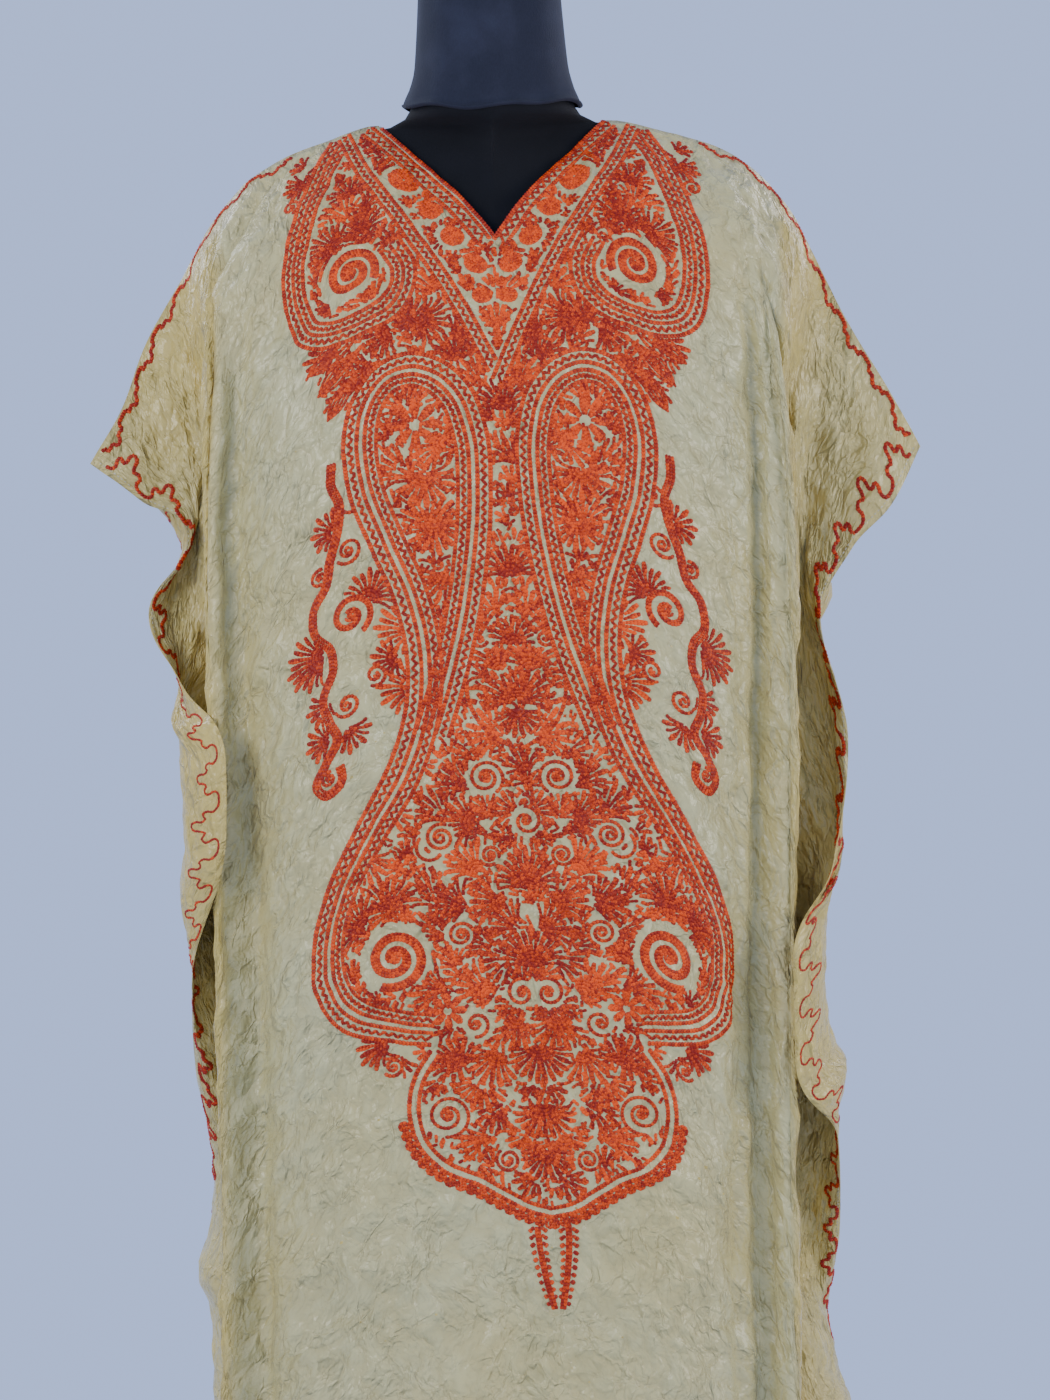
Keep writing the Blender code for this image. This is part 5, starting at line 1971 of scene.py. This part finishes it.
@dataclass
class DressForm:
    """The limbless form: body, neck, knitted cover, cap, pole and base."""

    points_round: int = 96
    ring_step: float = 0.006
    cover_room: float = 0.0007
    cover_wall: float = 0.0016
    cover_below_top: float = 0.002
    hem_roll: float = 0.0017
    hem_wave: float = 0.0030
    hem_flare: float = 0.0035
    hem_reach: float = 0.030
    hem_crease: float = 0.0007
    cap_height: float = 0.020
    body_bottom: float = 0.730
    seam_beside: float = -0.0096
    seam_width: float = 0.0016
    seam_depth: float = 0.0012
    pole_radius: float = 0.014
    base_radius: float = 0.165
    base_thick: float = 0.022

    def angles(self) -> Grid:
        """The ways of the points round a loop."""
        return np.linspace(0, 2 * math.pi, self.points_round, endpoint=False)

    def loop(self, ring: Sequence[float], shift: float = 0.0) -> Grid:
        """A level loop of points round the form."""
        drop, half_width, front, back, corner = ring
        angle = self.angles()
        x, y = np.cos(angle), np.sin(angle)
        depth = np.where(y > 0, back, front) + shift
        x = np.copysign(np.abs(x) ** (2 / corner), x) * (half_width + shift)
        y = np.copysign(np.abs(y) ** (2 / corner), y) * depth
        return np.stack([x, y, np.full(len(x), SHOULDER_Z - drop)], axis=1)

    def rings(self, table: Sequence[Ring], top: float, bottom: float) -> Grid:
        """Rings read smoothly from a table between two drops."""
        table = np.array(table)
        drops = np.linspace(top, bottom, round((bottom - top) / self.ring_step) + 1)
        return np.column_stack([drops, curve_through(table[:, 0], table[:, 1:], drops)])

    def body(self) -> bpy.types.Object:
        """The jersey-covered body and neck, with the sewn line down its front."""
        table = NECK_RINGS + BODY_RINGS
        rings = self.rings(table, table[0].drop, table[-1].drop)
        loops = np.array([self.loop(ring) for ring in rings])
        seam = np.exp(-(((loops[..., 0] - self.seam_beside) / self.seam_width) ** 2)) * (loops[..., 1] < 0)
        loops[..., 1] += seam * self.seam_depth
        jersey = Knit("black_jersey", (0.0025, 0.0025, 0.0032), (0.0075, 0.0075, 0.0095), 0.0011)
        body = mesh_object("form_jersey", lofted(loops), jersey.material())
        return self.standing(body, "form_body")

    def standing(self, thing: bpy.types.Object, node: str) -> bpy.types.Object:
        """Stands a piece in for its node."""
        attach(thing, "root")
        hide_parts(node)
        log.info("%s: %d faces", thing.name, len(thing.data.polygons))
        return thing

    def cover(self) -> bpy.types.Object:
        """The knitted sleeve over the neck, with a rolled hem that waves and flares at its ends."""
        table = (*NECK_RINGS[:-1], COVER_HEM)
        rings = self.rings(table, NECK_TOP + self.cover_below_top, COVER_HEM.drop)
        near_hem = eased((rings[:, 0] - rings[-1, 0] + self.hem_reach) / self.hem_reach)
        angle = self.angles()
        wave = self.hem_wave * (0.6 * np.sin(angle * 3 + 0.4) + 0.4 * np.sin(angle * 7 + 2.0))
        flare = self.hem_flare * np.abs(np.cos(angle)) ** 3
        creases = self.hem_crease * np.sin(angle * 9 + 1.0) * np.sin(angle * 4)
        loops = []
        outer = self.cover_room + self.cover_wall
        for ring, share in zip(rings, near_hem):
            loops.append(self.pushed(ring, outer, flare * share + creases * (0.4 + share), wave * share))
        for turn in np.linspace(0.2, 1.25, 8) * math.pi:
            around = self.hem_roll * (1 - math.cos(turn)) * 0.5 - self.hem_roll * math.sin(turn) * 0.9
            falls = self.hem_roll * (0.4 - 0.9 * math.cos(turn))
            loops.append(self.pushed(rings[-1], outer - around, flare + creases, wave + falls))
        for ring, share in zip(rings[::-1], near_hem[::-1]):
            loops.append(self.pushed(ring, self.cover_room, flare * share + creases * 0.3, wave * share))
        knit = Knit("navy_knit", (0.009, 0.0095, 0.016), (0.036, 0.038, 0.059), 0.0013)
        cover = mesh_object("neck_cover", lofted(np.array(loops), capped=False), knit.material())
        return self.standing(cover, "form_neck_cover")

    def pushed(self, ring: Sequence[float], shift: float, out: Grid, falls: Grid) -> Grid:
        """A loop round the form with each point moved out and down."""
        points = self.loop(ring, shift)
        away = points[:, :2] / np.linalg.norm(points[:, :2], axis=1, keepdims=True)
        points[:, :2] += away * np.reshape(out, (-1, 1))
        points[:, 2] -= falls
        return points

    def cap(self) -> bpy.types.Object:
        """The turned wooden cap, with a bead, a groove and a low dome."""
        top = NECK_RINGS[0]
        loops = []
        for size, height in CAP_TURNING[::-1]:
            sides = (top.half_width * size, top.front * size, top.back * size)
            loops.append(self.loop((NECK_TOP - GAP - self.cap_height * height, *sides, top.corner)))
        cap = mesh_object("neck_cap", lofted(np.array(loops)), TurnedWood().material())
        return self.standing(cap, "form_neck_cap")

    def turned(self, profile: Sequence[tuple[float, float]]) -> bmesh.types.BMesh:
        """A skin turned round the pole's axis from radius and height pairs, top first."""
        angle = self.angles()
        loops = [
            np.stack([radius * np.cos(angle), radius * np.sin(angle), np.full(len(angle), height)], axis=1)
            for radius, height in profile
        ]
        return lofted(np.array(loops))

    def pole(self, metal: bpy.types.Material) -> bpy.types.Object:
        """The pole, with a collar at each end and the clamp of its sliding joint."""
        top = SHOULDER_Z - self.body_bottom - GAP
        bottom = self.base_thick + GAP
        profile = []
        for wide, place, above in POLE_TURNING:
            profile.append((self.pole_radius * wide, bottom + (top - bottom) * place + above))
        pole = mesh_object("pole", self.turned(profile), metal)
        return self.standing(pole, "stand_pole")

    def base(self, metal: bpy.types.Material) -> bpy.types.Object:
        """The round base, with a hub, a stepped foot and a rounded rim."""
        profile = [(self.base_radius * wide, self.base_thick * high) for wide, high in BASE_TURNING]
        base = mesh_object("base", self.turned(profile), metal)
        return self.standing(base, "stand_base")

    def build(self) -> None:
        """Makes every piece of the form."""
        metal = SatinMetal().material()
        self.body()
        self.cover()
        self.cap()
        self.pole(metal)
        self.base(metal)


def main() -> None:
    """Builds the scene, piece by piece."""
    logging.basicConfig(level=logging.INFO, format="%(name)s %(message)s")
    Studio().build()
    front = ClothPanel(Panel.FRONT, 0.0053, FRONT_CREASES)
    back = ClothPanel(Panel.BACK, 0.0069, BACK_CREASES, seed=31)
    front.build(CrushedSilk("crushed_silk_front").material())
    back.build(CrushedSilk("crushed_silk_back").material())
    thread = SilkThread("rust_thread").material()
    cotton = SilkThread("cream_thread", (0.42, 0.36, 0.22), (0.66, 0.60, 0.42)).material()
    Design(Stitchery()).build(front, thread)
    for panel in (front, back):
        Trim(panel, thread, cotton).build()
    DressForm().build()


if __name__ == "__main__":
    main()
